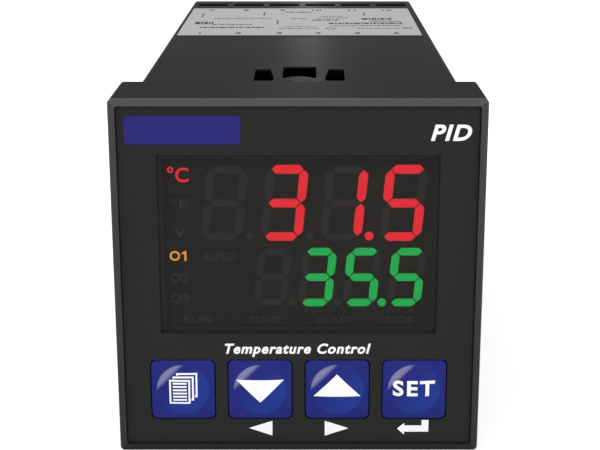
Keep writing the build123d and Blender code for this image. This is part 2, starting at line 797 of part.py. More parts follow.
# Terminal block: six cells with a screw from outside and a wire entry from the rear
block_top = inner / 2 - fit
cavity = 2 * slip
cage_bottom = entry_z - entry / 2 - cage_floor
cage_top = cage_bottom + cage_height
cage_back = slot_y + cage_length / 2
nose_z = block_top - nose_rise - nose_height / 2
with BuildPart() as upper_block:
    with BuildSketch(at_depth(back_board_back + slip)):
        with Locations((0, block_top - block_height / 2)):
            Rectangle(inner - 2 * slip, block_height)
    extrude(amount=-(block_back - back_board_back - slip))
    with BuildSketch(at_depth(block_back)):
        with Locations((0, nose_z)):
            Rectangle(nose_width, nose_height)
    extrude(amount=-(rear_wall - nose_inset))
    with BuildSketch(at_depth(back_board_back)):
        with Locations(*[(x, (cage_bottom + cage_top) / 2) for x in pole_xs]):
            Rectangle(cage_width + cavity, cage_height + cavity)
    extrude(amount=-(cage_back + slip - back_board_back), mode=Mode.SUBTRACT)
    with BuildSketch(at_depth(slot_y)):
        with Locations(*[(x, entry_z) for x in pole_xs]):
            Rectangle(entry, entry)
    extrude(amount=-(body_length - slot_y), mode=Mode.SUBTRACT)
    mouths = upper_block.faces().sort_by(Axis.Y)[-1].inner_wires().edges()
    chamfer(mouths, entry_lead)
    with BuildSketch(Plane.XY.offset(cage_top)):
        with Locations(*[(x, slot_y) for x in pole_xs]):
            Circle(access_radius)
    extrude(amount=body, mode=Mode.SUBTRACT)
upper_block.part.label = "terminal_block_upper"
export_step(upper_block.part, "parts/terminal_block_upper.step")

with BuildPart() as lower_block:
    mirror(upper_block.part, about=Plane.XY)
lower_block.part.label = "terminal_block_lower"
export_step(lower_block.part, "parts/terminal_block_lower.step")

# Clamp cages: a thick threaded roof, and a window for the wire and the contact
with BuildPart() as terminal_cages:
    with BuildSketch(at_depth(slot_y - cage_length / 2)):
        with Locations(*[(x, (cage_bottom + cage_top) / 2) for x in pole_xs]):
            Rectangle(cage_width, cage_height)
        with Locations(*[(x, entry_z) for x in pole_xs]):
            Rectangle(entry, entry, mode=Mode.SUBTRACT)
    extrude(amount=-cage_length)
    with BuildSketch(Plane.XY.offset(entry_z)):
        with Locations(*[(x, slot_y) for x in pole_xs]):
            Circle(screw_radius + screw_play)
    extrude(amount=body, mode=Mode.SUBTRACT)
    mirror(about=Plane.XY)
terminal_cages.part.label = "terminal_cages"
export_step(terminal_cages.part, "parts/terminal_cages.step")

# Terminal screws, with a slotted head above the cage
with BuildPart() as terminal_screws:
    with BuildSketch(Plane.XY.offset(entry_z + 2 * screw_slot)):
        with Locations(*[(x, slot_y) for x in pole_xs]):
            Circle(screw_radius)
    extrude(amount=cage_top + slip - entry_z - 2 * screw_slot)
    with BuildSketch(Plane.XY.offset(cage_top + slip)):
        with Locations(*[(x, slot_y) for x in pole_xs]):
            Circle(screw_head_radius)
    extrude(amount=screw_head_height)
    with BuildSketch(Plane.XY.offset(cage_top + slip + screw_head_height)):
        with Locations(*[(x, slot_y) for x in pole_xs]):
            Rectangle(2 * screw_head_radius, screw_slot)
    extrude(amount=-screw_slot, mode=Mode.SUBTRACT)
    mirror(about=Plane.XY)
terminal_screws.part.label = "terminal_screws"
export_step(terminal_screws.part, "parts/terminal_screws.step")

# Contacts: flat bars from inside the cages, through the back board
with BuildPart() as terminal_contacts:
    with BuildSketch(at_depth(back_board_y - contact_out)):
        with Locations(*contact_places):
            Rectangle(contact_width, contact_thick)
    extrude(amount=-(cage_back - back_board_y + contact_out))
terminal_contacts.part.label = "terminal_contacts"
export_step(terminal_contacts.part, "parts/terminal_contacts.step")

# Places along the power board: parts at its front end, relays at its rear end
power_parts_lead = 4.0
can_radius = 5.0
relay_length = 17.5
relay_lead = 1.75     # from the relays to the rear end of the board
power_parts_start = board_wide_start + power_parts_lead
relay_y = board_wide_end - relay_lead - relay_length / 2

# Cross-bars that hold the two long boards apart, behind the front capacitor, above and below
spacer_lead = 0.5
spacer_length = 3.0
spacer_thick = 2.0
spacer_below = 0.25
with BuildPart() as board_spacers:
    with BuildSketch(at_depth(power_parts_start + 2 * can_radius + spacer_lead)):
        for edge in (-1, 1):
            with Locations((0, edge * ((frame_inner - spacer_thick) / 2 - spacer_below))):
                Rectangle(2 * board_inner_x, spacer_thick)
    extrude(amount=-spacer_length)
board_spacers.part.label = "board_spacers"
export_step(board_spacers.part, "parts/board_spacers.step")

# Mains transformer: base and bobbin, core and winding
transformer_y = (power_parts_start + 2 * can_radius + relay_y - relay_length / 2) / 2
base_length = 13.0
base_width = 15.0
core_lift = 1.5
core_height = 11.0
core_width = 16.0
core_thick = 5.0
core_leg = 4.4
core_yoke = 2.2
core_side = 2.6
coil_length = 12.0
coil_corner = 2.0
coil_gap = 0.1
with BuildPart() as transformer_base:
    with BuildSketch(on_power(transformer_y, 0)):
        Rectangle(base_length, base_width)
    extrude(amount=core_lift)
transformer_base.part.label = "transformer_base"
export_step(transformer_base.part, "parts/transformer_base.step")

core_window = core_width / 2 - core_side - core_leg / 2
with BuildPart() as transformer_core:
    with BuildSketch(on_power(transformer_y, 0, core_lift)):
        Rectangle(core_thick, core_width)
    extrude(amount=core_height)
    with BuildSketch(on_power(transformer_y, 0, core_lift + core_yoke)):
        for side in (-1, 1):
            with Locations((0, side * (core_leg + core_window) / 2)):
                Rectangle(2 * core_thick, core_window)
    extrude(amount=core_height - 2 * core_yoke, mode=Mode.SUBTRACT)
transformer_core.part.label = "transformer_core"
export_step(transformer_core.part, "parts/transformer_core.step")

with BuildPart() as transformer_winding:
    with BuildSketch(on_power(transformer_y, 0, core_lift + core_yoke + coil_gap)):
        RectangleRounded(coil_length, core_leg + 2 * core_window - 2 * coil_gap, coil_corner)
        Rectangle(core_thick + 2 * coil_gap, core_leg + 2 * coil_gap, mode=Mode.SUBTRACT)
    extrude(amount=core_height - 2 * core_yoke - 2 * coil_gap)
transformer_winding.part.label = "transformer_winding"
export_step(transformer_winding.part, "parts/transformer_winding.step")

# Relays on the power board
relay_width = 6.5
relay_height = 12.5
relay_edge = 0.4
for relay_name, relay_z in (("output_relay", 9.0), ("alarm_relay", -9.0)):
    with BuildPart() as relay:
        with BuildSketch(on_power(relay_y, relay_z)):
            Rectangle(relay_length, relay_width)
        extrude(amount=relay_height)
        fillet(relay.faces().sort_by(Axis.X)[-1].edges(), relay_edge)
    relay.part.label = relay_name
    export_step(relay.part, f"parts/{relay_name}.step")

# Capacitors: one at the front of the power board, a smaller one each side of the transformer
can_edge = 0.5
can_height = 12.5
can_below = 4.1        # from the capacitor to the edge of the board
small_can_radius = 3.15
small_can_height = 11.0
small_can_gap = 0.6
small_can_z = core_width / 2 + small_can_gap + small_can_radius
with BuildPart() as input_capacitor:
    can_z = board_height / 2 - can_below - can_radius
    with BuildSketch(on_power(power_parts_start + can_radius, can_z)):
        Circle(can_radius)
    extrude(amount=can_height)
    fillet(input_capacitor.faces().sort_by(Axis.X)[-1].edges(), can_edge)
input_capacitor.part.label = "input_capacitor"
export_step(input_capacitor.part, "parts/input_capacitor.step")

with BuildPart() as output_capacitors:
    for side in (-1, 1):
        with BuildSketch(on_power(transformer_y, side * small_can_z)):
            Circle(small_can_radius)
        extrude(amount=small_can_height)
    fillet(output_capacitors.faces().sort_by(Axis.X)[-2:].edges(), can_edge)
output_capacitors.part.label = "output_capacitors"
export_step(output_capacitors.part, "parts/output_capacitors.step")

# Varistor: a round blob that runs down to the board
varistor_above = 5.3   # from the varistor to the lower edge of the board
varistor_radius = 3.8
varistor_lift = 4.5
varistor_foot = 5.0
varistor_foot_height = 1.0
varistor_thick = 3.0
varistor_z = varistor_above + varistor_radius - board_height / 2
with BuildPart() as varistor:
    with BuildSketch(at_depth(power_parts_start + can_radius)):
        with Locations((-board_inner_x + varistor_lift, varistor_z)):
            Circle(varistor_radius)
        with Locations((-board_inner_x + varistor_foot_height / 2, varistor_z)):
            Rectangle(varistor_foot_height, varistor_foot)
        make_hull()
    extrude(amount=-varistor_thick)
varistor.part.label = "varistor"
export_step(varistor.part, "parts/varistor.step")

# Power chip
power_chip_length = 9.3
power_chip_width = 6.4
power_chip_height = 3.6
with BuildPart() as power_chip:
    with BuildSketch(on_power(power_parts_start + power_chip_length / 2, 0)):
        Rectangle(power_chip_length, power_chip_width)
    extrude(amount=power_chip_height)
    chamfer(power_chip.faces().sort_by(Axis.X)[-1].edges(), chip_edge)
power_chip.part.label = "power_chip"
export_step(power_chip.part, "parts/power_chip.step")

# Chips on the control board: couplers beside the relays, the processor towards the front
# and the converters between them
processor_lead = 17.0
processor_size = 10.0
processor_height = 1.6
converter_z = 8.0
converter_length = 7.5
converter_width = 10.3
converter_height = 2.4
reference_length = 5.0
reference_width = 4.0
coupler_spacing = 8.0
coupler_count = 3
coupler_length = 4.6
coupler_width = 6.5
coupler_height = 3.5
processor_y = board_wide_start + processor_lead + processor_size / 2
converter_y = (processor_y + processor_size / 2 + relay_y - coupler_length / 2) / 2
coupler_zs = [(i - (coupler_count - 1) / 2) * coupler_spacing for i in range(coupler_count)]
processor_sizes = (processor_size, processor_size, processor_height)
converter_sizes = (converter_length, converter_width, converter_height)
reference_sizes = (reference_length, reference_width, processor_height)
coupler_sizes = (coupler_length, coupler_width, coupler_height)
chips = {"processor": [((processor_y, 0), processor_sizes)],
         "converter_chips": [((converter_y, converter_z), converter_sizes),
                             ((converter_y, -converter_z), reference_sizes)],
         "couplers": [((relay_y, z), coupler_sizes) for z in coupler_zs]}
for chip_name, bodies in chips.items():
    with BuildPart() as chip:
        for place, (chip_length, chip_width, chip_height) in bodies:
            with BuildSketch(on_control(*place)):
                Rectangle(chip_length, chip_width)
            extrude(amount=chip_height)
    chip.part.label = chip_name
    export_step(chip.part, f"parts/{chip_name}.step")

# Crystal in its can
crystal_lead = 4.0
crystal_length = 11.4
crystal_width = 4.7
crystal_height = 3.5
crystal_edge = 0.4
with BuildPart() as crystal:
    with BuildSketch(on_control(board_wide_start + crystal_lead + crystal_length / 2, 0)):
        SlotOverall(crystal_length, crystal_width)
    extrude(amount=crystal_height)
    fillet(crystal.faces().sort_by(Axis.X)[0].edges(), crystal_edge)
crystal.part.label = "crystal"
export_step(crystal.part, "parts/crystal.step")
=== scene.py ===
import bmesh
import bpy
from math import radians, sqrt
from mathutils import Matrix, Vector


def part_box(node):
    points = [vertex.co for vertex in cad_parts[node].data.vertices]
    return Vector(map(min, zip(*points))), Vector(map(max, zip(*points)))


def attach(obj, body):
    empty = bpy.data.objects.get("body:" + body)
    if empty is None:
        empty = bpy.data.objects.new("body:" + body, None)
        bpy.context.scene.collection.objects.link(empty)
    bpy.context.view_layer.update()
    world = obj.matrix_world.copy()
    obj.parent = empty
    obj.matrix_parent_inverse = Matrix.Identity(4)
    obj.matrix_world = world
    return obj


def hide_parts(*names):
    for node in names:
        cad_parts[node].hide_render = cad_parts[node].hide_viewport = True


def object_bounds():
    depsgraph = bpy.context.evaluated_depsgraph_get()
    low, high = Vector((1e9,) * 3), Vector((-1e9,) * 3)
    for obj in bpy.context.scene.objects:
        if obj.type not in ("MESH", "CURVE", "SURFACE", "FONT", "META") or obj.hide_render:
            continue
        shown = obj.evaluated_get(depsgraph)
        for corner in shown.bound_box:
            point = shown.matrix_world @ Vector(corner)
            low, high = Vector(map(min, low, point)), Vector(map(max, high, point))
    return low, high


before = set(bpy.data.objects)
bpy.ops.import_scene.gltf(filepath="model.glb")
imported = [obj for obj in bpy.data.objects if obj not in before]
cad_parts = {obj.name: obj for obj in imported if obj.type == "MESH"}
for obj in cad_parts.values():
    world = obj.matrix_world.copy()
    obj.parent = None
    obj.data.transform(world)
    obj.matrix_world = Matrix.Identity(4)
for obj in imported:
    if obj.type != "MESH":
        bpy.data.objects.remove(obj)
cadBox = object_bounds()
print("frame loaded:", len(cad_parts), "nodes")

mm = 0.001      # the tables here are in millimetres, the scene in metres
root = "controller"


# Colours and shader helpers

def linear(red, green, blue):
    # a colour from 0 to 255, as a shader socket takes it
    shades = [value / 255 for value in (red, green, blue)]
    return [v / 12.92 if v <= 0.04045 else ((v + 0.055) / 1.055) ** 2.4 for v in shades] + [1.0]


def dimmed(colour, share):
    return [share * v for v in colour[:3]] + [1.0]


def newMaterial(name):
    material = bpy.data.materials.new(name)
    material.use_nodes = True
    return material, material.node_tree, material.node_tree.nodes["Principled BSDF"]


def feed(tree, value, socket):
    # links a socket, or sets a plain value
    if isinstance(value, bpy.types.NodeSocket):
        tree.links.new(value, socket)
    else:
        socket.default_value = value


def calc(tree, operation, *values):
    node = tree.nodes.new("ShaderNodeMath")
    node.operation = operation
    for value, socket in zip(values, node.inputs):
        feed(tree, value, socket)
    return node.outputs[0]


def ramp(tree, value, low, high, fromShare=0.0, toShare=1.0):
    # an eased step from one share to another as value goes from low to high
    node = tree.nodes.new("ShaderNodeMapRange")
    node.interpolation_type = "SMOOTHSTEP"
    for name, amount in (("Value", value), ("From Min", low), ("From Max", high),
                         ("To Min", fromShare), ("To Max", toShare)):
        feed(tree, amount, node.inputs[name])
    return node.outputs["Result"]


def blendColours(tree, share, first, second):
    node = tree.nodes.new("ShaderNodeMix")
    node.data_type = "RGBA"
    feed(tree, share, node.inputs[0])
    feed(tree, first, node.inputs[6])
    feed(tree, second, node.inputs[7])
    return node.outputs[2]


def noiseAt(tree, coordinates, scale, detail=2.0, roughness=0.5):
    node = tree.nodes.new("ShaderNodeTexNoise")
    tree.links.new(coordinates, node.inputs["Vector"])
    feed(tree, scale, node.inputs["Scale"])
    node.inputs["Detail"].default_value = detail
    node.inputs["Roughness"].default_value = roughness
    return node.outputs[0]


noiseMiddle = 0.5


def vary(tree, noise, least, most):
    # a value that follows a noise, within those limits
    return ramp(tree, noise, 0.3, 0.7, least, most)


def objectPlace(tree):
    return tree.nodes.new("ShaderNodeTexCoord").outputs["Object"]


def objectAxes(tree):
    # the object's own x, y and z
    node = tree.nodes.new("ShaderNodeSeparateXYZ")
    tree.links.new(objectPlace(tree), node.inputs[0])
    return node.outputs[0], node.outputs[1], node.outputs[2]


def scaleColour(tree, colour, gain):
    node = tree.nodes.new("ShaderNodeVectorMath")
    node.operation = "SCALE"
    feed(tree, colour, node.inputs[0])
    tree.links.new(gain, node.inputs["Scale"])
    return node.outputs[0]


def bumpFrom(tree, height, strength, distance):
    node = tree.nodes.new("ShaderNodeBump")
    node.inputs["Strength"].default_value = strength
    feed(tree, distance, node.inputs["Distance"])
    tree.links.new(height, node.inputs["Height"])
    return node.outputs[0]


def newFinishGroup(name, amounts):
    # takes a colour and some amounts, and gives a colour, a roughness and a normal
    group = bpy.data.node_groups.new(name, "ShaderNodeTree")
    group.interface.new_socket(name="Colour", in_out="INPUT", socket_type="NodeSocketColor")
    for label in amounts:
        group.interface.new_socket(name=label, in_out="INPUT", socket_type="NodeSocketFloat")
    for label, kind in (("Colour", "Color"), ("Roughness", "Float"), ("Normal", "Vector")):
        group.interface.new_socket(name=label, in_out="OUTPUT", socket_type="NodeSocket" + kind)
    return group, group.nodes.new("NodeGroupInput"), group.nodes.new("NodeGroupOutput")


def makeGrainGroup():
    # moulded grain, slow changes of tone, and the roughness that goes with them
    group, given, result = newFinishGroup("mouldedGrain", ("Grain", "Depth", "Tone", "Roughness"))
    fine = noiseAt(group, objectPlace(group), given.outputs["Grain"], detail=3.0, roughness=0.6)
    clouds = noiseAt(group, objectPlace(group), scale=55.0, detail=3.0, roughness=0.55)
    slow = calc(group, "SUBTRACT", clouds, noiseMiddle)
    fineShare, roughShare = 0.6, 0.12
    both = calc(group, "MULTIPLY_ADD", calc(group, "SUBTRACT", fine, noiseMiddle), fineShare, slow)
    gain = calc(group, "MULTIPLY_ADD", both, given.outputs["Tone"], 1.0)
    rough = calc(group, "MULTIPLY_ADD", slow, roughShare, given.outputs["Roughness"])
    group.links.new(scaleColour(group, given.outputs["Colour"], gain), result.inputs["Colour"])
    group.links.new(rough, result.inputs["Roughness"])
    bump = bumpFrom(group, fine, strength=0.7, distance=given.outputs["Depth"])
    group.links.new(bump, result.inputs["Normal"])
    return group


def makeScratchGroup():
    # fine lines along one way of a drawn or turned metal, with faint stains
    group, given, result = newFinishGroup("drawnMetal", ("Roughness", "Depth"))
    stretch = group.nodes.new("ShaderNodeMapping")
    stretch.inputs["Scale"].default_value = (1.0, 0.08, 1.0)
    group.links.new(objectPlace(group), stretch.inputs["Vector"])
    lines = noiseAt(group, stretch.outputs[0], scale=5200.0, detail=2.0, roughness=0.6)
    stains = noiseAt(group, objectPlace(group), scale=420.0, detail=3.0, roughness=0.6)
    gain = ramp(group, stains, low=0.35, high=0.75, fromShare=1.0, toShare=0.8)
    roughShare = 0.3
    rough = calc(group, "MULTIPLY_ADD", calc(group, "SUBTRACT", lines, noiseMiddle), roughShare,
                 given.outputs["Roughness"])
    group.links.new(scaleColour(group, given.outputs["Colour"], gain), result.inputs["Colour"])
    group.links.new(rough, result.inputs["Roughness"])
    bump = bumpFrom(group, lines, strength=0.5, distance=given.outputs["Depth"])
    group.links.new(bump, result.inputs["Normal"])
    return group


grainGroup = makeGrainGroup()
scratchGroup = makeScratchGroup()


def useGroup(tree, shader, group, **values):
    # a group's colour, roughness and normal drive the shader
    node = tree.nodes.new("ShaderNodeGroup")
    node.node_tree = group
    for label, value in values.items():
        feed(tree, value, node.inputs[label])
    tree.links.new(node.outputs["Colour"], shader.inputs["Base Color"])
    tree.links.new(node.outputs["Roughness"], shader.inputs["Roughness"])
    tree.links.new(node.outputs["Normal"], shader.inputs["Normal"])


def plastic(name, colour, roughness=0.5, grain=3600.0, depth=0.004, tone=0.12, specular=0.3, coat=0.0):
    material, tree, shader = newMaterial(name)
    useGroup(tree, shader, grainGroup, Colour=colour, Grain=grain, Depth=depth * mm, Tone=tone,
             Roughness=roughness)
    shader.inputs["Specular IOR Level"].default_value = specular
    shader.inputs["Coat Weight"].default_value = coat
    shader.inputs["Coat Roughness"].default_value = 0.12
    return material


def metal(name, colour, roughness=0.32, depth=0.003):
    material, tree, shader = newMaterial(name)
    useGroup(tree, shader, scratchGroup, Colour=colour, Roughness=roughness, Depth=depth * mm)
    shader.inputs["Metallic"].default_value = 1.0
    return material


def lamp(name, colour, strength):
    # a lit diffuser with a slightly uneven glow
    material, tree, shader = newMaterial(name)
    cloud = noiseAt(tree, objectPlace(tree), scale=900.0)
    glow = scaleColour(tree, colour[:3], vary(tree, cloud, 0.94, 1.03))
    tree.links.new(glow, shader.inputs["Emission Color"])
    shader.inputs["Emission Strength"].default_value = strength
    shader.inputs["Base Color"].default_value = dimmed(colour, 0.3)
    shader.inputs["Roughness"].default_value = 0.5
    return material


# Materials, one function for each finish that is more than moulded plastic or metal

# the inside colour is painted shade in the openings; the top colour is the flanks' plastic painted darker, as
# painted shade
caseFinish = {"top": linear(32, 32, 33), "flanks": linear(37, 37, 38), "inside": linear(5, 5, 5),
              "skin": 0.12, "skinBlend": 0.25, "edge": 0.3, "roughness": 0.31, "gloss": 0.0011,
              "sheen": 0.16, "sheenRoughness": 0.34}


def makeCasePlastic():
    # matt moulding; its faces inside the openings are painted near black as painted shade, and its top is
    # painted darker than the flanks as painted shade; flanks and rear are more polished than the top
    material, tree, shader = newMaterial("casePlastic")
    x, y, z = objectAxes(tree)
    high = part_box("case")[1]
    wall = high.z - caseFinish["skin"] * mm
    edge = caseFinish["edge"] * mm
    outmost = calc(tree, "MAXIMUM", calc(tree, "ABSOLUTE", x), calc(tree, "ABSOLUTE", z))
    rear = calc(tree, "GREATER_THAN", y, high.y - edge)
    onWall = ramp(tree, outmost, wall - caseFinish["skinBlend"] * mm, wall)
    outside = calc(tree, "MAXIMUM", onWall, rear)
    # one on the polished flanks, which keep the lighter colour; nought on the top, which takes the painted
    # shade
    polishedUnshadedFlanks = ramp(tree, z, wall - edge, wall, 1.0, 0.0)
    shade = blendColours(tree, polishedUnshadedFlanks, caseFinish["top"], caseFinish["flanks"])
    # the inner faces take the painted shade of the openings
    useGroup(tree, shader, grainGroup, Colour=blendColours(tree, outside, caseFinish["inside"], shade),
             Grain=3400.0, Depth=0.005 * mm, Tone=0.1, Roughness=caseFinish["roughness"])
    tree.links.new(calc(tree, "MULTIPLY", calc(tree, "MULTIPLY", polishedUnshadedFlanks, outside), caseFinish["sheen"]),
                   shader.inputs["Coat Weight"])
    shader.inputs["Coat Roughness"].default_value = caseFinish["sheenRoughness"]
    shader.inputs["Specular IOR Level"].default_value = caseFinish["gloss"]
    return material


# the rim's colours are painted light: palest on the top bar, shading down the sides, darkest on the bar
# underneath
bezelFinish = {"shoulder": linear(33, 33, 34), "rimTopPaintedLight": linear(79, 79, 80),
               "rimSideUpperPaintedLight": linear(65, 65, 66), "rimSideLowerPaintedShade": linear(51, 51, 52),
               "rimUnderPaintedShade": linear(38, 38, 39), "rimWidth": 1.9, "rimDepth": 0.75, "depthBlend": 0.4,
               "mitreFrom": -0.25, "mitreTo": 0.15, "barBlend": 0.3, "gloss": 0.003, "coat": 0.13,
               "coatRoughness": 0.3}


def makeBezelPlastic():
    # the rim's four bars have glossier skins and are painted paler towards the top and darker underneath, as
    # painted highlight and painted shade; they meet at mitred corners
    material, tree, shader = newMaterial("bezelPlastic")
    x, y, z = objectAxes(tree)
    low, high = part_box("bezel")
    depth = low.y + bezelFinish["rimDepth"] * mm
    bar = high.z - bezelFinish["rimWidth"] * mm
    # the rim's front takes the coat and the painted highlight and shade; the shoulder keeps its own colour
    rimCoatAndPaintedLight = ramp(tree, y, depth - bezelFinish["depthBlend"] * mm, depth, 1.0, 0.0)
    # painted shade down the side bars, paler higher up
    shade = blendColours(tree, ramp(tree, z, low.z, high.z), bezelFinish["rimSideLowerPaintedShade"],
                         bezelFinish["rimSideUpperPaintedLight"])
    across = calc(tree, "ABSOLUTE", x)
    # painted highlight on the top bar, painted shade on the bar underneath
    for way, colour in ((1, "rimTopPaintedLight"), (-1, "rimUnderPaintedShade")):
        height = calc(tree, "MULTIPLY", z, way)
        mitre = ramp(tree, calc(tree, "SUBTRACT", height, across), bezelFinish["mitreFrom"] * mm,
                     bezelFinish["mitreTo"] * mm)
        onBar = ramp(tree, height, bar, bar + bezelFinish["barBlend"] * mm)
        shade = blendColours(tree, calc(tree, "MULTIPLY", mitre, onBar), shade, bezelFinish[colour])
    shade = blendColours(tree, rimCoatAndPaintedLight, bezelFinish["shoulder"], shade)
    useGroup(tree, shader, grainGroup, Colour=shade, Grain=3600.0, Depth=0.004 * mm, Tone=0.08,
             Roughness=0.45)
    tree.links.new(calc(tree, "MULTIPLY", rimCoatAndPaintedLight, bezelFinish["coat"]), shader.inputs["Coat Weight"])
    shader.inputs["Coat Roughness"].default_value = bezelFinish["coatRoughness"]
    shader.inputs["Specular IOR Level"].default_value = bezelFinish["gloss"]
    return material


# the middle blue and the shine are painted: the dome's highlight, and its lighter lower right as painted
# shading; the edge blue is the keys' own
keyFinish = {"edge": linear(34, 41, 119), "middle": linear(35, 56, 141), "shine": linear(186, 186, 214),
             "bubble": 3.5, "bubbleEdge": 0.2, "lowerFrom": -3.0, "lowerTo": 3.5, "chordFrom": 2.25,
             "chordTo": 2.95, "shineShare": 0.4, "gloss": 0.08}


def makeKeyBlue():
    # blue with a bubble painted lighter towards the lower right and a pale crescent, both painted highlight
    # of the dome, repeated at the pitch of the keys
    material, tree, shader = newMaterial("keyBlue")
    placeX, _, placeZ = objectAxes(tree)
    low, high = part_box("key_menu")
    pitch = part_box("key_down")[0].x - low.x
    # three pitches more keep the remainder from going negative
    across = calc(tree, "SUBTRACT", calc(tree, "MODULO", calc(tree, "ADD", placeX, 3 * pitch), pitch),
                  pitch / 2)
    x = calc(tree, "DIVIDE", across, mm)
    z = calc(tree, "DIVIDE", calc(tree, "SUBTRACT", placeZ, (low.z + high.z) / 2), mm)
    radius = calc(tree, "SQRT", calc(tree, "ADD", calc(tree, "MULTIPLY", x, x), calc(tree, "MULTIPLY", z, z)))
    edge = keyFinish["bubbleEdge"]
    bubble = ramp(tree, radius, keyFinish["bubble"] - edge, keyFinish["bubble"] + edge, 1.0, 0.0)
    # painted shading: the bubble lighter towards its lower right
    lower = ramp(tree, calc(tree, "SUBTRACT", x, z), keyFinish["lowerFrom"], keyFinish["lowerTo"])
    body = blendColours(tree, calc(tree, "MULTIPLY", bubble, lower), keyFinish["edge"], keyFinish["middle"])
    # the crescent, a painted highlight, lies between the bubble's edge and a chord across its upper left
    towards = calc(tree, "DIVIDE", calc(tree, "SUBTRACT", z, x), sqrt(2))
    rimSide = ramp(tree, radius, keyFinish["bubble"] - edge / 2, keyFinish["bubble"] + edge / 2, 1.0, 0.0)
    innerSide = ramp(tree, towards, keyFinish["chordFrom"], keyFinish["chordTo"], 0.0,
                     keyFinish["shineShare"])
    # the key's colour with the painted highlight of the crescent laid over it
    surfaceLayer = blendColours(tree, calc(tree, "MULTIPLY", rimSide, innerSide), body, keyFinish["shine"])
    useGroup(tree, shader, grainGroup, Colour=surfaceLayer, Grain=5200.0, Depth=0.0015 * mm, Tone=0.05,
             Roughness=0.4)
    shader.inputs["Specular IOR Level"].default_value = keyFinish["gloss"]
    return material


# the border colour is the print painted paler than the smoke, to lighten the shade that falls in the window's
# recess
lensFinish = {"smoke": linear(43, 41, 39), "border": linear(48, 46, 44), "share": 0.59, "clearShare": 0.02,
              "borderFull": 0.52, "borderClear": 0.67, "backSkin": 0.05, "cutEdge": 0.015, "offSeat": 0.03,
              "roughness": (0.17, 0.24), "gloss": 0.04}


def makeLensSmoke():
    # smoke printed on the back face, full at the border that hides the seat; the rest is clear
    material, tree, shader = newMaterial("lensSmoke")
    low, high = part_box("lens")
    x, y, z = objectAxes(tree)
    sideways = calc(tree, "SUBTRACT", high.x, calc(tree, "ABSOLUTE", x))
    aboveMiddle = calc(tree, "ABSOLUTE", calc(tree, "SUBTRACT", z, (high.z + low.z) / 2))
    upright = calc(tree, "SUBTRACT", (high.z - low.z) / 2, aboveMiddle)
    inwards = calc(tree, "MINIMUM", sideways, upright)
    onBorder = ramp(tree, inwards, lensFinish["borderFull"] * mm, lensFinish["borderClear"] * mm, 1.0, 0.0)
    # the border is painted paler, a painted lightening against the recess's shade
    tree.links.new(blendColours(tree, onBorder, lensFinish["smoke"], lensFinish["border"]),
                   shader.inputs["Base Color"])
    clear = lensFinish["clearShare"]
    surfaceLayer = calc(tree, "MULTIPLY_ADD", onBorder, 1 - lensFinish["share"], lensFinish["share"] - clear)
    atBack = calc(tree, "GREATER_THAN", y, high.y - lensFinish["backSkin"] * mm)
    atEdge = calc(tree, "LESS_THAN", inwards, lensFinish["cutEdge"] * mm)
    tree.links.new(calc(tree, "MAXIMUM", calc(tree, "MULTIPLY", atEdge, 1 - clear),
                        calc(tree, "MULTIPLY_ADD", atBack, surfaceLayer, clear)), shader.inputs["Alpha"])
    haze = noiseAt(tree, objectPlace(tree), scale=260.0)
    tree.links.new(vary(tree, haze, *lensFinish["roughness"]), shader.inputs["Roughness"])
    shader.inputs["Specular IOR Level"].default_value = lensFinish["gloss"]
    return material


def makeFilm(name, colour, roughness, flecks, specular):
    # printed film with faint flecks and a slight orange-peel surface
    material, tree, shader = newMaterial(name)
    peel = noiseAt(tree, objectPlace(tree), scale=700.0)
    fleck = noiseAt(tree, objectPlace(tree), scale=4200.0, roughness=0.7)
    fleckShare = ramp(tree, fleck, low=0.35, high=0.75, fromShare=0.0, toShare=flecks)
    tree.links.new(blendColours(tree, fleckShare, colour, dimmed(colour, 0.6)), shader.inputs["Base Color"])
    tree.links.new(vary(tree, peel, roughness - 0.04, roughness + 0.04), shader.inputs["Roughness"])
    tree.links.new(bumpFrom(tree, peel, strength=0.4, distance=0.002 * mm), shader.inputs["Normal"])
    shader.inputs["Specular IOR Level"].default_value = specular
    return material


def makeBoardGreen():
    # solder mask over a faint pattern of tracks
    material, tree, shader = newMaterial("boardGreen")
    cells = tree.nodes.new("ShaderNodeTexBrick")
    tree.links.new(objectPlace(tree), cells.inputs["Vector"])
    cells.inputs["Scale"].default_value = 260.0
    cells.inputs["Color1"].default_value = (0.012, 0.10, 0.04, 1.0)
    cells.inputs["Color2"].default_value = (0.016, 0.13, 0.05, 1.0)
    cells.inputs["Mortar"].default_value = (0.03, 0.2, 0.08, 1.0)
    cells.inputs["Mortar Size"].default_value = 0.03
    useGroup(tree, shader, grainGroup, Colour=cells.outputs["Color"], Grain=5000.0, Depth=0.002 * mm,
             Tone=0.15, Roughness=0.35)
    return material


def makeWindingTape():
    # layers of yellow tape round the winding
    material, tree, shader = newMaterial("windingTape")
    bands = tree.nodes.new("ShaderNodeTexWave")
    tree.links.new(objectPlace(tree), bands.inputs["Vector"])
    bands.inputs["Scale"].default_value = 380.0
    bands.inputs["Distortion"].default_value = 0.6
    shade = blendColours(tree, bands.outputs["Fac"], (0.55, 0.40, 0.05, 1.0), (0.75, 0.58, 0.10, 1.0))
    useGroup(tree, shader, grainGroup, Colour=shade, Grain=2500.0, Depth=0.004 * mm, Tone=0.2, Roughness=0.4)
    return material


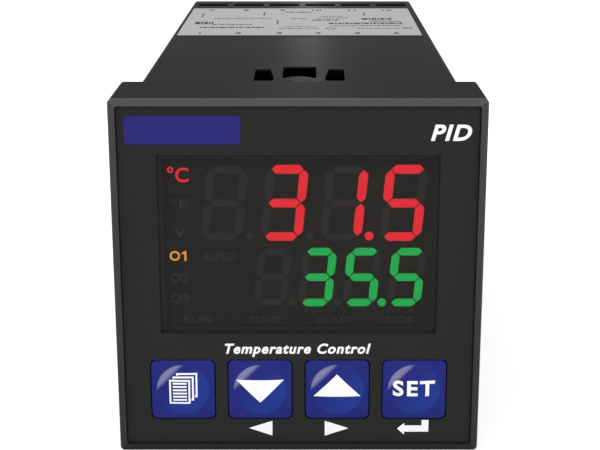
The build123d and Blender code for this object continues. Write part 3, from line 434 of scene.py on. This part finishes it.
materials = {
    "case_plastic": makeCasePlastic(),
    "bezel_plastic": makeBezelPlastic(),
    "frame_plastic": plastic("framePlastic", linear(11, 11, 12), roughness=0.6, specular=0.02),
    "overlay_sheet": makeFilm("overlayFilm", linear(41, 41, 40), roughness=0.52, flecks=0.15, specular=0.05),
    "plate_blue": makeFilm("plateBlue", linear(42, 38, 114), roughness=0.45, flecks=0.15, specular=0.1),
    "lens_smoked": makeLensSmoke(),
    "key_blue": makeKeyBlue(),
    "seal_rubber": plastic("sealRubber", linear(18, 18, 18), roughness=0.75, depth=0.01, specular=0.1),
    "label_film": makeFilm("labelFilm", linear(174, 177, 176), roughness=0.55, flecks=0.1, specular=0.03),
    "display_block": plastic("displayBlock", linear(60, 57, 54), roughness=0.6, depth=0.0006, tone=0.04,
                             specular=0.03),
    "red_lit": lamp("redLit", linear(228, 30, 44), strength=2.1),
    "green_lit": lamp("greenLit", linear(4, 168, 73), strength=2.1),
    "amber_lit": lamp("amberLit", linear(234, 160, 66), strength=2.1),
    "bars_dark": plastic("barsDark", linear(86, 83, 80), roughness=0.5, depth=0.0006, tone=0.04,
                         specular=0.03),
    "board_green": makeBoardGreen(),
    "pin_tin": metal("pinTin", linear(214, 213, 208)),
    "screw_steel": metal("screwSteel", linear(196, 197, 199), roughness=0.34),
    "cage_steel": metal("cageSteel", linear(176, 178, 180), roughness=0.4),
    "contact_brass": metal("contactBrass", linear(214, 184, 118), roughness=0.36),
    "can_metal": metal("canMetal", linear(206, 206, 206), roughness=0.3),
    "chip_black": plastic("chipBlack", linear(26, 26, 27), roughness=0.6, grain=6000.0),
    "socket_plastic": plastic("socketPlastic", linear(34, 34, 35)),
    "switch_plastic": plastic("switchPlastic", linear(44, 44, 45)),
    "terminal_plastic": plastic("terminalPlastic", linear(27, 27, 28), tone=0.1, specular=0.15),
    "relay_plastic": plastic("relayPlastic", linear(80, 84, 90), roughness=0.35, coat=0.3),
    "ferrite": plastic("ferrite", linear(58, 58, 60), roughness=0.7, depth=0.01, tone=0.3),
    "winding_tape": makeWindingTape(),
    "capacitor_sleeve": plastic("capacitorSleeve", linear(24, 26, 52), roughness=0.3, coat=0.4),
    "varistor_blue": plastic("varistorBlue", linear(36, 84, 160), roughness=0.3, depth=0.008, coat=0.5),
}
printWhite = makeFilm("printWhite", linear(252, 252, 252), roughness=0.5, flecks=0.02, specular=0.1)
printBlack = makeFilm("printBlack", linear(56, 57, 58), roughness=0.6, flecks=0.2, specular=0.03)
printGhost = plastic("printGhost", linear(97, 93, 89), specular=0.05)
print("materials:", len(bpy.data.materials))


# CAD nodes keep their shape and take a finish

# the unit and output lights stay dark, because their lit signs are pieces of their own
nodeFinish = {
    "case": "case_plastic", "bezel": "bezel_plastic", "inner_frame": "frame_plastic",
    "overlay": "overlay_sheet", "name_plate": "plate_blue", "lens": "lens_smoked",
    "case_seal": "seal_rubber", "rating_label": "label_film", "display_module": "display_block",
    "pv_digits_lit": "red_lit", "sv_digits_lit": "green_lit", "unit_light": "display_block",
    "output_light": "display_block", "dark_lights": "display_block", "pv_digits_dark": "bars_dark",
    "sv_digits_dark": "bars_dark", "display_pins": "pin_tin", "board_screws": "screw_steel",
    "terminal_screws": "screw_steel", "terminal_cages": "cage_steel", "terminal_contacts": "contact_brass",
    "crystal": "can_metal", "display_driver": "chip_black", "power_chip": "chip_black",
    "processor": "chip_black", "converter_chips": "chip_black", "couplers": "chip_black",
    "power_socket": "socket_plastic", "control_socket": "socket_plastic", "power_header": "socket_plastic",
    "control_header": "socket_plastic", "terminal_block_upper": "terminal_plastic",
    "terminal_block_lower": "terminal_plastic", "output_relay": "relay_plastic",
    "alarm_relay": "relay_plastic", "transformer_core": "ferrite", "transformer_base": "socket_plastic",
    "transformer_winding": "winding_tape", "input_capacitor": "capacitor_sleeve",
    "output_capacitors": "capacitor_sleeve", "varistor": "varistor_blue", "board_spacers": "frame_plastic",
}
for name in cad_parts:
    if name.endswith("board"):
        nodeFinish[name] = "board_green"
    elif name.startswith("key_"):
        nodeFinish[name] = "key_blue"
    elif name.startswith(("plunger_", "switch_")):
        nodeFinish[name] = "switch_plastic"
for name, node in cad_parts.items():
    node.data.materials.clear()
    node.data.materials.append(materials[nodeFinish[name]])
print("finishes on the CAD nodes")


# Ways to make and place a piece

def addObject(name, data):
    thing = bpy.data.objects.new(name, data)
    bpy.context.scene.collection.objects.link(thing)
    return thing


def meshFrom(shape, name, material):
    mesh = bpy.data.meshes.new(name)
    shape.to_mesh(mesh)
    shape.free()
    mesh.materials.append(material)
    return mesh


def pieceFrom(shape, name, material, body, sharpAngle=None):
    mesh = meshFrom(shape, name, material)
    piece = addObject(name, mesh)
    if sharpAngle is not None:
        mesh.shade_smooth()
        mesh.set_sharp_from_angle(angle=radians(sharpAngle))
    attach(piece, body)
    return piece


mouldingEdges = {"merge": 0.002, "flatAngle": 0.5, "sharpAngle": 35, "facetWidth": 0.45, "segments": 2,
                 "bevelAngle": 30}


def softened(nodeName, pieceName, edge):
    # a merged copy of a CAD node, with its edges rounded as a moulding's are; only narrow facets are smooth
    slotName = nodeFinish[nodeName]
    shape = bmesh.new()
    shape.from_mesh(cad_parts[nodeName].data)
    bmesh.ops.remove_doubles(shape, verts=shape.verts, dist=mouldingEdges["merge"] * mm)
    bmesh.ops.dissolve_limit(shape, angle_limit=radians(mouldingEdges["flatAngle"]), verts=shape.verts,
                             edges=shape.edges)
    facetWidth = mouldingEdges["facetWidth"] * mm
    narrow = [face.calc_area() < facetWidth * max(side.calc_length() for side in face.edges)
              for face in shape.faces]
    piece = pieceFrom(shape, pieceName, materials[slotName], root, mouldingEdges["sharpAngle"])
    piece.data.polygons.foreach_set("use_smooth", narrow)
    bevel = piece.modifiers.new("roundedEdges", "BEVEL")
    bevel.width = edge * mm
    bevel.segments = mouldingEdges["segments"]
    bevel.limit_method = "ANGLE"
    bevel.angle_limit = radians(mouldingEdges["bevelAngle"])
    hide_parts(nodeName)
    return piece


printLayer = {"lift": 0.02, "thick": 0.03}


def vertsOf(made):
    # the vertices among what a bmesh operator made
    return [part for part in made["geom"] if isinstance(part, bmesh.types.BMVert)]


def outlineSolid(shape, points, lift=printLayer["lift"], thick=printLayer["thick"]):
    # a thin solid with the given outline, its front face lift above the plane z = 0
    face = shape.faces.new([shape.verts.new((x, y, lift)) for x, y in points])
    face.normal_update()
    if face.normal.z < 0:
        face.normal_flip()
    extruded = bmesh.ops.extrude_face_region(shape, geom=[face], use_keep_orig=True)
    bmesh.ops.translate(shape, verts=vertsOf(extruded), vec=(0, 0, -thick))
    bmesh.ops.recalc_face_normals(shape, faces=shape.faces)


letterDepth = 0.01


def letterMesh(words, bold=0.0, slant=0.0, space=1.0):
    # letters one unit in size, centred on z = 0 and a little thick
    curve = bpy.data.curves.new("letters", "FONT")
    curve.body = words
    curve.align_x = "CENTER"
    curve.shear = slant
    curve.offset = bold
    curve.space_character = space
    curve.extrude = letterDepth
    curve.resolution_u = 4
    writer = addObject("letters", curve)
    bpy.context.view_layer.update()
    mesh = bpy.data.meshes.new_from_object(writer.evaluated_get(bpy.context.evaluated_depsgraph_get()))
    bpy.data.objects.remove(writer)
    return mesh


def extentOf(mesh, axis):
    values = [v.co[axis] for v in mesh.vertices]
    return min(values), max(values)


capShare = extentOf(letterMesh("H"), 1)[1]


def addText(shape, words, middle, height, width=None, bold=0.02, slant=0.0, space=1.0,
            lift=printLayer["lift"], thick=printLayer["thick"]):
    # letters with capitals of that height, centred on middle, spread to that width if one is given
    mesh = letterMesh(words, bold, slant, space)
    size = height / (capShare + 2 * bold)
    left, right = extentOf(mesh, 0)
    across = width / (right - left) if width else size
    place = (middle[0] - across * (left + right) / 2, middle[1] - height / 2 + bold * size, lift - thick / 2)
    mesh.transform(Matrix.Translation(place) @ Matrix.Diagonal((across, size, thick / (2 * letterDepth), 1)))
    letters = bmesh.new()
    letters.from_mesh(mesh)
    bmesh.ops.remove_doubles(letters, verts=letters.verts, dist=0.0005)
    letters.to_mesh(mesh)
    letters.free()
    shape.from_mesh(mesh)
    bpy.data.meshes.remove(mesh)


def addOne(shape, left, bottom, height, thick):
    # the figure one, with its flag
    outline = ((0.3, 0), (0.5, 0), (0.5, 1), (0.34, 1), (0.04, 0.8), (0.04, 0.62), (0.3, 0.76))
    outlineSolid(shape, [(left + height * x, bottom + height * y) for x, y in outline], thick=thick)


facingFront = Matrix.Rotation(radians(90), 4, "X")     # drawn x, y become X, Z, seen from the front
facingTop = Matrix.Identity(4)
facingRear = Matrix.Rotation(radians(180), 4, "Z") @ facingFront


def standPrint(shape, facing, plane):
    # drawn in millimetres on z = 0, then stood on a surface of the object, in metres
    stand = Matrix.Translation(plane) @ facing @ Matrix.Scale(mm, 4)
    bmesh.ops.transform(shape, matrix=stand, verts=shape.verts)


# The main mouldings, with rounded edges

def holdOffSeat(piece, nodeName, distance):
    # sets the printed back of a piece just off the face that it seats on
    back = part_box(nodeName)[1].y
    for corner in piece.data.vertices:
        if back - corner.co.y < distance / 2 * mm:
            corner.co.y -= distance * mm


mouldings = {}
for nodeName, pieceName, edge in (
        ("case", "caseShell", 0.15), ("bezel", "bezelFrame", 0.14), ("overlay", "overlayFilm", 0.02),
        ("lens", "windowLens", 0.02), ("name_plate", "namePlate", 0.03),
        ("rating_label", "ratingLabel", 0.02), ("terminal_block_upper", "upperTerminals", 0.1),
        ("terminal_block_lower", "lowerTerminals", 0.1)):
    mouldings[nodeName] = softened(nodeName, pieceName, edge)
holdOffSeat(mouldings["lens"], "lens", lensFinish["offSeat"])
print("mouldings made")


# Keys: a rounded cap with a domed front, its lips and its stem, in the place of each CAD key

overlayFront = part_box("overlay")[0].y / mm
keyCap = {"corner": 0.8, "cornerSteps": 6, "edge": 0.15, "edgeSteps": 3, "depth": 2.0,
          "lip": 0.7, "lipThick": 0.9, "lipBack": 2.0, "stemRadius": 1.5, "stemStart": 1.9, "stemSides": 32,
          "domeRadius": 3.65, "domeSteps": 12, "domeSides": 64, "skirt": 0.1}
keyBoxes = {name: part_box("key_" + name) for name in ("menu", "down", "up", "set")}
keyMiddles = {name: ((low.x + high.x) / 2 / mm, (low.z + high.z) / 2 / mm)
              for name, (low, high) in keyBoxes.items()}
keyLow, keyHigh = keyBoxes["menu"]
keyWidth = (keyHigh.x - keyLow.x) / mm
keyHeight = (keyHigh.z - keyLow.z) / mm - 2 * keyCap["lip"]
domeHeight = overlayFront - keyLow.y / mm
domeSphere = (keyCap["domeRadius"] ** 2 + domeHeight ** 2) / (2 * domeHeight)


def domeRise(x, z):
    # how far the dome stands out at x, z from the key's middle, in millimetres
    along = min(sqrt(x * x + z * z), keyCap["domeRadius"])
    return sqrt(domeSphere ** 2 - along ** 2) - (domeSphere - domeHeight)


def standOnKey(shape, name):
    x, z = keyMiddles[name]
    standPrint(shape, facingFront, (x * mm, overlayFront * mm, z * mm))


def addCapBlock(shape):
    # a block with round corners and a rounded front edge
    corners = [shape.verts.new((sideX * keyWidth / 2, sideY * keyHeight / 2, 0))
               for sideX, sideY in ((-1, -1), (1, -1), (1, 1), (-1, 1))]
    shape.faces.new(corners)
    bmesh.ops.bevel(shape, geom=corners, offset=keyCap["corner"], segments=keyCap["cornerSteps"], profile=0.5,
                    affect="VERTICES", material=-1)
    shape.faces.ensure_lookup_table()
    body = bmesh.ops.extrude_face_region(shape, geom=[shape.faces[0]], use_keep_orig=True)
    bmesh.ops.translate(shape, verts=vertsOf(body), vec=(0, 0, -keyCap["depth"]))
    front = [e for e in shape.edges if all(abs(v.co.z) < 1e-6 for v in e.verts)]
    bmesh.ops.bevel(shape, geom=front, offset=keyCap["edge"], segments=keyCap["edgeSteps"], profile=0.5,
                    affect="EDGES", material=-1)


def addLipsAndStem(shape):
    # lips behind the front wall, and a stem down to the plunger
    lips = bmesh.ops.create_cube(shape, size=1)["verts"]
    bmesh.ops.scale(shape, vec=(keyWidth, keyHeight + 2 * keyCap["lip"], keyCap["lipThick"]), verts=lips)
    bmesh.ops.translate(shape, vec=(0, 0, keyCap["lipThick"] / 2 - keyCap["lipBack"]), verts=lips)
    reach = keyHigh.y / mm - overlayFront - keyCap["stemStart"]
    stem = bmesh.ops.create_cone(shape, cap_ends=True, segments=keyCap["stemSides"],
                                 radius1=keyCap["stemRadius"], radius2=keyCap["stemRadius"],
                                 depth=reach)["verts"]
    bmesh.ops.translate(shape, vec=(0, 0, -keyCap["stemStart"] - reach / 2), verts=stem)


def addDome(shape):
    # spun from an arc that ends in a skirt inside the cap
    radius, skirt, steps = keyCap["domeRadius"], keyCap["skirt"], keyCap["domeSteps"]
    profile = [(radius * i / steps, domeRise(radius * i / steps, 0)) for i in range(steps + 1)]
    profile += [(radius, -skirt), (0, -skirt)]
    points = [shape.verts.new((x, 0, z)) for x, z in profile]
    arc = [shape.edges.new(pair) for pair in zip(points, points[1:])]
    bmesh.ops.spin(shape, geom=arc + points, cent=(0, 0, 0), axis=(0, 0, 1), angle=radians(360),
                   steps=keyCap["domeSides"], use_merge=True)


def makeKey(name):
    shape = bmesh.new()
    for addPart in (addCapBlock, addLipsAndStem, addDome):
        addPart(shape)
    bmesh.ops.remove_doubles(shape, verts=shape.verts, dist=0.0005)
    bmesh.ops.recalc_face_normals(shape, faces=shape.faces)
    standOnKey(shape, name)
    piece = pieceFrom(shape, name + "KeyCap", materials["key_blue"], name + "_key", 30)
    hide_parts("key_" + name)


for name in keyMiddles:
    makeKey(name)
print("keys made")


# Signs on the keys, laid over the dome

signCells = {"reach": 4.2, "size": 0.3}


def layOnDome(shape):
    # cuts the flat sign into small cells and lifts them onto the dome
    reach, size = signCells["reach"], signCells["size"]
    for normal in (Vector((1, 0, 0)), Vector((0, 1, 0))):
        for i in range(round(2 * reach / size)):
            geometry = shape.verts[:] + shape.edges[:] + shape.faces[:]
            bmesh.ops.bisect_plane(shape, geom=geometry, plane_co=(i * size - reach) * normal,
                                   plane_no=normal, dist=0.0005)
    for vertex in shape.verts:
        vertex.co.z += domeRise(vertex.co.x, vertex.co.y)


def rightAngleStroke(shape, points, width, lift, thick):
    # a line of that width along a path of level and upright runs, with square corners
    half = width / 2
    leftSide, rightSide = [], []
    for i, (x, y) in enumerate(points):
        before = points[i - 1] if i else None
        after = points[i + 1] if i + 1 < len(points) else None
        runs = []
        for start, end in ((before, (x, y)), ((x, y), after)):
            if start and end:
                length = abs(end[0] - start[0]) + abs(end[1] - start[1])
                runs.append(((end[0] - start[0]) / length, (end[1] - start[1]) / length))
        if runs[0] == runs[-1]:
            runs = runs[:1]
        shiftX = -half * sum(dy for dx, dy in runs)
        shiftY = half * sum(dx for dx, dy in runs)
        leftSide.append((x + shiftX, y + shiftY))
        rightSide.append((x - shiftX, y - shiftY))
    outlineSolid(shape, leftSide + rightSide[::-1], lift, thick)


signs = {
    "line": 0.24, "lift": 0.03, "thick": 0.05,
    "pageLeft": -1.83, "pageRight": 0.96, "pageTop": 1.5, "pageBottom": -1.92,
    "pageShift": (0.48, 0.47), "ruleLeft": -1.35, "ruleRight": 0.51, "ruleFirst": 0.98, "rulePitch": 0.465,
    "ruleCount": 6,
    "down": ((-3.16, 1.45), (0.01, -1.75), (3.16, 1.45)),
    "up": ((-3.16, -0.88), (3.12, -0.88), (-0.04, 2.26)),
    "setMiddle": (-0.06, 0.27), "setHeight": 2.16, "setWidth": 5.58,
}


def makePagesSign(shape):
    left, right, top, bottom = (signs[k] for k in ("pageLeft", "pageRight", "pageTop", "pageBottom"))
    line, lift, thick = signs["line"], signs["lift"], signs["thick"]
    inner = line / 2
    ends = [(left + inner, top - inner), (right - inner, top - inner), (right - inner, bottom + inner),
            (left + inner, bottom + inner)]
    # front page, four strips that meet at the corners
    for (x0, y0), (x1, y1) in zip(ends, ends[1:] + ends[:1]):
        backX, backY = (inner * ((end > start) - (end < start)) for start, end in ((x0, x1), (y0, y1)))
        rightAngleStroke(shape, [(x0 - backX, y0 - backY), (x1 - backX, y1 - backY)], line, lift, thick)
    # the two pages behind it show above and to the right
    dx, dy = signs["pageShift"]
    for i in (1, 2):
        pageLeft, pageTop = left + i * dx + inner, top + i * dy - inner
        pageRight, pageBottom = right + i * dx - inner, bottom + i * dy + inner
        path = [(pageLeft, pageTop - dy + line), (pageLeft, pageTop), (pageRight, pageTop),
                (pageRight, pageBottom), (pageRight - dx + line, pageBottom)]
        rightAngleStroke(shape, path, line, lift, thick)
    for i in range(signs["ruleCount"]):
        y = signs["ruleFirst"] - i * signs["rulePitch"]
        rightAngleStroke(shape, [(signs["ruleLeft"], y), (signs["ruleRight"], y)], line, lift, thick)


def makeSign(name, build):
    shape = bmesh.new()
    build(shape)
    layOnDome(shape)
    standOnKey(shape, name)
    pieceFrom(shape, name + "KeySign", printWhite, name + "_key")


makeSign("menu", makePagesSign)
makeSign("down", lambda shape: outlineSolid(shape, signs["down"], signs["lift"], signs["thick"]))
makeSign("up", lambda shape: outlineSolid(shape, signs["up"], signs["lift"], signs["thick"]))
makeSign("set", lambda shape: addText(shape, "SET", signs["setMiddle"], signs["setHeight"], signs["setWidth"],
                                      bold=0.03, space=1.2, lift=signs["lift"], thick=signs["thick"]))
print("key signs made")


# White print on the overlay: caption, heading, arrows under the keys

frontPrint = {
    "words": (("Temperature Control", (-0.1, -9.55), 1.42, 19.3), ("PID", (19.4, 19.6), 2.1, 5.2)),
    "bold": 0.032, "slant": 0.25, "space": 1.14,
    "arrows": (                              # left, right and return, under the last three keys
        ((-6.69, -20.93), (-3.54, -19.9), (-3.54, -22.03)),
        ((3.49, -22.05), (3.49, -19.89), (6.67, -20.96)),
        ((13.2, -21.0), (14.16, -20.2), (14.16, -20.56), (16.48, -20.56), (16.48, -19.77), (17.41, -19.77),
         (17.41, -21.47), (14.16, -21.47), (14.16, -21.9)),
    ),
}


def makeFrontPrint():
    shape = bmesh.new()
    for words, middle, height, width in frontPrint["words"]:
        addText(shape, words, middle, height, width, frontPrint["bold"], frontPrint["slant"],
                frontPrint["space"])
    for outline in frontPrint["arrows"]:
        outlineSolid(shape, outline)
    standPrint(shape, facingFront, (0, overlayFront * mm, 0))
    pieceFrom(shape, "overlayPrint", printWhite, root)


makeFrontPrint()


# Lit and unlit signs behind the lens

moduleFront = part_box("display_module")[0].y / mm
windowSigns = {
    "thick": 0.02,
    "unit": ("°C", (-15.43, 13.9), 1.9, 2.75),
    "output": ("O", (-16.1, 3.03), 1.3, 1.35), "outputOne": (-15.25, 2.38, 1.3),
    "ghosts": (("°F", (-15.4, 10.0), 1.3, 2.2), ("V", (-15.4, 6.2), 1.4, 1.4),
               ("O2", (-15.6, 0.0), 1.2, 2.3), ("O3", (-15.6, -2.8), 1.2, 2.3),
               ("AUTO", (-10.34, 2.9), 1.1, 4.4), ("RUN", (-13.3, -5.8), 0.9, 3.6),
               ("TUNE", (-4.4, -5.8), 0.9, 4.4), ("HOLD", (4.5, -5.8), 0.9, 4.2),
               ("LOCK", (13.1, -5.8), 0.9, 4.6)),
}


def makeWindowSign(name, entries, material, bold, one=None):
    shape = bmesh.new()
    if one:
        addOne(shape, *one, windowSigns["thick"])
    for words, middle, height, width in entries:
        addText(shape, words, middle, height, width, bold, thick=windowSigns["thick"])
    standPrint(shape, facingFront, (0, moduleFront * mm, 0))
    pieceFrom(shape, name, material, root)


makeWindowSign("unitSign", [windowSigns["unit"]], materials["red_lit"], 0.015)
makeWindowSign("outputSign", [windowSigns["output"]], materials["amber_lit"], 0.02,
               windowSigns["outputOne"])
makeWindowSign("unlitSigns", windowSigns["ghosts"], printGhost, 0.01)
print("window signs made")


# Print on the label: terminal numbers, and rows of dashes where small print would be

labelPrint = {
    "columns": (-17.6, -10.9, -3.8, 2.9, 9.8, 16.6), "numberHeight": 1.7,
    "frontRow": 56.0, "rearRow": 87.4,
    "rows": (                                # from, to, Y, height of the dashes
        (-19.4, -16.1, 68.8, 3.0), (-18.1, -6.2, 63.0, 1.2), (-16.0, -9.0, 66.6, 0.8),
        (-16.3, -5.6, 75.3, 0.6), (3.0, 8.6, 75.6, 0.6), (2.0, 7.0, 72.8, 1.1), (11.2, 17.2, 74.4, 2.0),
        (12.6, 18.3, 70.9, 0.8), (5.0, 18.4, 68.4, 1.5), (5.3, 17.9, 65.2, 0.6), (10.0, 17.6, 61.8, 0.5),
        (-3.3, 2.6, 63.8, 0.5), (-4.0, 3.2, 61.4, 0.5), (-1.0, 1.8, 84.2, 1.1), (-2.0, 1.0, 74.8, 0.6),
        (3.6, 7.6, 78.2, 0.5),
    ),
    "dashes": (0.9, 0.35, 0.6, 0.25, 0.75, 0.4, 1.1, 0.3), "gap": 0.22, "shortest": 0.3,
    "rings": ((-2.3, 84.2, 0.9), (5.2, 61.6, 0.9), (18.9, 62.2, 0.9)), "line": 0.22,
    "lines": ((-4.5, 67.0, 72.5), (-18.9, 77.0, 82.0), (-7.3, 79.5, 84.0), (11.8, 79.0, 83.5)),
}


def rectangle(x0, x1, y0, y1):
    return (x0, y0), (x1, y0), (x1, y1), (x0, y1)


def addRing(shape, x, y, radius, line):
    outer = bmesh.ops.create_circle(shape, segments=24, radius=radius)["verts"]
    inner = bmesh.ops.create_circle(shape, segments=24, radius=radius - line)["verts"]
    edges = list(dict.fromkeys(e for v in outer + inner for e in v.link_edges))
    faces = bmesh.ops.bridge_loops(shape, edges=edges)["faces"]
    raised = vertsOf(bmesh.ops.extrude_face_region(shape, geom=faces, use_keep_orig=True))
    bmesh.ops.translate(shape, vec=(0, 0, printLayer["thick"]), verts=raised)
    bmesh.ops.translate(shape, vec=(x, y, printLayer["lift"] - printLayer["thick"]),
                        verts=outer + inner + raised)
    bmesh.ops.recalc_face_normals(shape, faces=shape.faces)


def makeLabelPrint():
    shape = bmesh.new()
    columns = labelPrint["columns"]
    for i, x in enumerate(columns, 1):
        addText(shape, str(i), (x, labelPrint["frontRow"]), labelPrint["numberHeight"])
        addText(shape, str(len(columns) + i), (x, labelPrint["rearRow"]), labelPrint["numberHeight"])
    dashes = labelPrint["dashes"]
    for row, (start, end, y, height) in enumerate(labelPrint["rows"]):
        x, i = start, row
        while x < end - labelPrint["shortest"]:
            stop = min(x + dashes[i % len(dashes)], end)
            outlineSolid(shape, rectangle(x, stop, y - height / 2, y + height / 2))
            x, i = stop + labelPrint["gap"], i + 1
    for x, y0, y1 in labelPrint["lines"]:
        outlineSolid(shape, rectangle(x, x + labelPrint["line"], y0, y1))
    for x, y, radius in labelPrint["rings"]:
        addRing(shape, x, y, radius, labelPrint["line"])
    standPrint(shape, facingTop, (0, 0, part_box("rating_label")[1].z))
    pieceFrom(shape, "labelPrint", printBlack, root)


rearPrint = {"columns": (-18.0, -10.8, -3.6, 3.6, 10.8, 18.0), "rows": (-18.3, 18.3), "height": 2.1}


def makeRearNumbers():
    shape = bmesh.new()
    columns = rearPrint["columns"]
    for row, z in enumerate(rearPrint["rows"]):
        for i, x in enumerate(columns, 1):
            addText(shape, str(len(columns) * row + i), (-x, z), rearPrint["height"])
    standPrint(shape, facingRear, (0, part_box("terminal_block_upper")[1].y, 0))
    pieceFrom(shape, "rearNumbers", printWhite, root)


makeLabelPrint()
makeRearNumbers()
print("label and rear print made")


# Floor, light and camera

# places and sizes in metres, and the dark patch under the case in millimetres
studio = {
    "floorShade": 0.8, "floorGlow": 0.52, "floorHalf": 4.0, "darkHalfWidth": 21, "darkEnds": 2,
    "worldLevel": 0.58,
    "softboxes": {                           # place, target, size, power
        "keyLight": ((-0.35, -0.3, 0.7), (0, 0.02, 0), (0.5, 0.4), 1.8),
        "fillLight": ((0.4, -0.75, 0.3), (0, 0, 0), (0.5, 0.4), 1.9),
        "frontStrip": ((0.0, -0.13, 0.17), (0, -0.012, 0.02), (0.3, 0.06), 0.05),
        "leftFill": ((-0.7, 0.1, 0.08), (0, 0.05, 0), (0.5, 0.16), 2.6),
        "rightFill": ((0.7, 0.1, 0.08), (0, 0.05, 0), (0.5, 0.16), 3.2),
        "rearFill": ((-0.5, 0.8, 0.12), (0, 0.1, 0), (0.5, 0.2), 3.2),
        "backStrip": ((0.0014, 0.75, 0.2), (0, 0.05, 0.02), (0.008, 0.3), 0.06),
    },
}
cameraView = {"place": (0.00137, -0.1808, 0.0563), "lookDown": 15.718, "lens": 81.86,
              "shift": (-0.01493, -0.01658)}


def seenRays(tree):
    # one for rays that show a surface: straight to the camera, mirrored, or through a clear piece
    rays = tree.nodes.new("ShaderNodeLightPath")
    mirrored = calc(tree, "MAXIMUM", rays.outputs["Is Glossy Ray"], rays.outputs["Is Transmission Ray"])
    return calc(tree, "MAXIMUM", rays.outputs["Is Camera Ray"], mirrored)


def makeFloor():
    shape = bmesh.new()
    bmesh.ops.create_grid(shape, x_segments=1, y_segments=1, size=studio["floorHalf"])
    bmesh.ops.translate(shape, vec=(0, 0, cadBox[0].z), verts=shape.verts)
    material, tree, shader = newMaterial("floorWhite")
    addObject("floor", meshFrom(shape, "floor", material))
    shader.inputs["Base Color"].default_value = [studio["floorShade"]] * 3 + [1.0]
    shader.inputs["Roughness"].default_value = 0.9
    shader.inputs["Specular IOR Level"].default_value = 0.0
    shader.inputs["Emission Color"].default_value = (1, 1, 1, 1)
    # no glow on the patch that the case covers, so that its openings stay dark
    x, y, _ = objectAxes(tree)
    middle = cadBox[1].y / 2
    besideCase = calc(tree, "LESS_THAN", calc(tree, "ABSOLUTE", x), studio["darkHalfWidth"] * mm)
    alongCase = calc(tree, "LESS_THAN", calc(tree, "ABSOLUTE", calc(tree, "SUBTRACT", y, middle)),
                     middle - studio["darkEnds"] * mm)
    covered = calc(tree, "MULTIPLY", besideCase, alongCase)
    glow = calc(tree, "MULTIPLY_ADD", covered, -studio["floorGlow"], studio["floorGlow"])
    tree.links.new(calc(tree, "MULTIPLY", seenRays(tree), glow), shader.inputs["Emission Strength"])


def makeWorld():
    world = bpy.data.worlds.new("studio")
    bpy.context.scene.world = world
    world.use_nodes = True
    tree = world.node_tree
    background = tree.nodes["Background"]
    background.inputs["Color"].default_value = (1, 1, 1, 1)
    level = studio["worldLevel"]
    tree.links.new(calc(tree, "MULTIPLY_ADD", seenRays(tree), 1 - level, level),
                   background.inputs["Strength"])


def addSoftbox(name, place, target, size, power):
    data = bpy.data.lights.new(name, "AREA")
    data.shape = "RECTANGLE"
    data.size, data.size_y = size
    data.energy = power
    box = addObject(name, data)
    box.location = place
    box.rotation_euler = (Vector(target) - Vector(place)).to_track_quat("-Z", "Y").to_euler()
    box.visible_camera = False


def makeCamera():
    data = bpy.data.cameras.new("camera")
    data.lens = cameraView["lens"]
    data.sensor_width = 36.0
    data.shift_x, data.shift_y = cameraView["shift"]
    data.clip_start = 0.01
    camera = addObject("camera", data)
    camera.location = cameraView["place"]
    camera.rotation_euler = (radians(90 - cameraView["lookDown"]), 0, 0)
    bpy.context.scene.camera = camera


makeFloor()
makeWorld()
for name, softbox in studio["softboxes"].items():
    addSoftbox(name, *softbox)
makeCamera()
bpy.context.scene.view_settings.view_transform = "Standard"
print("stage, lights and camera set")
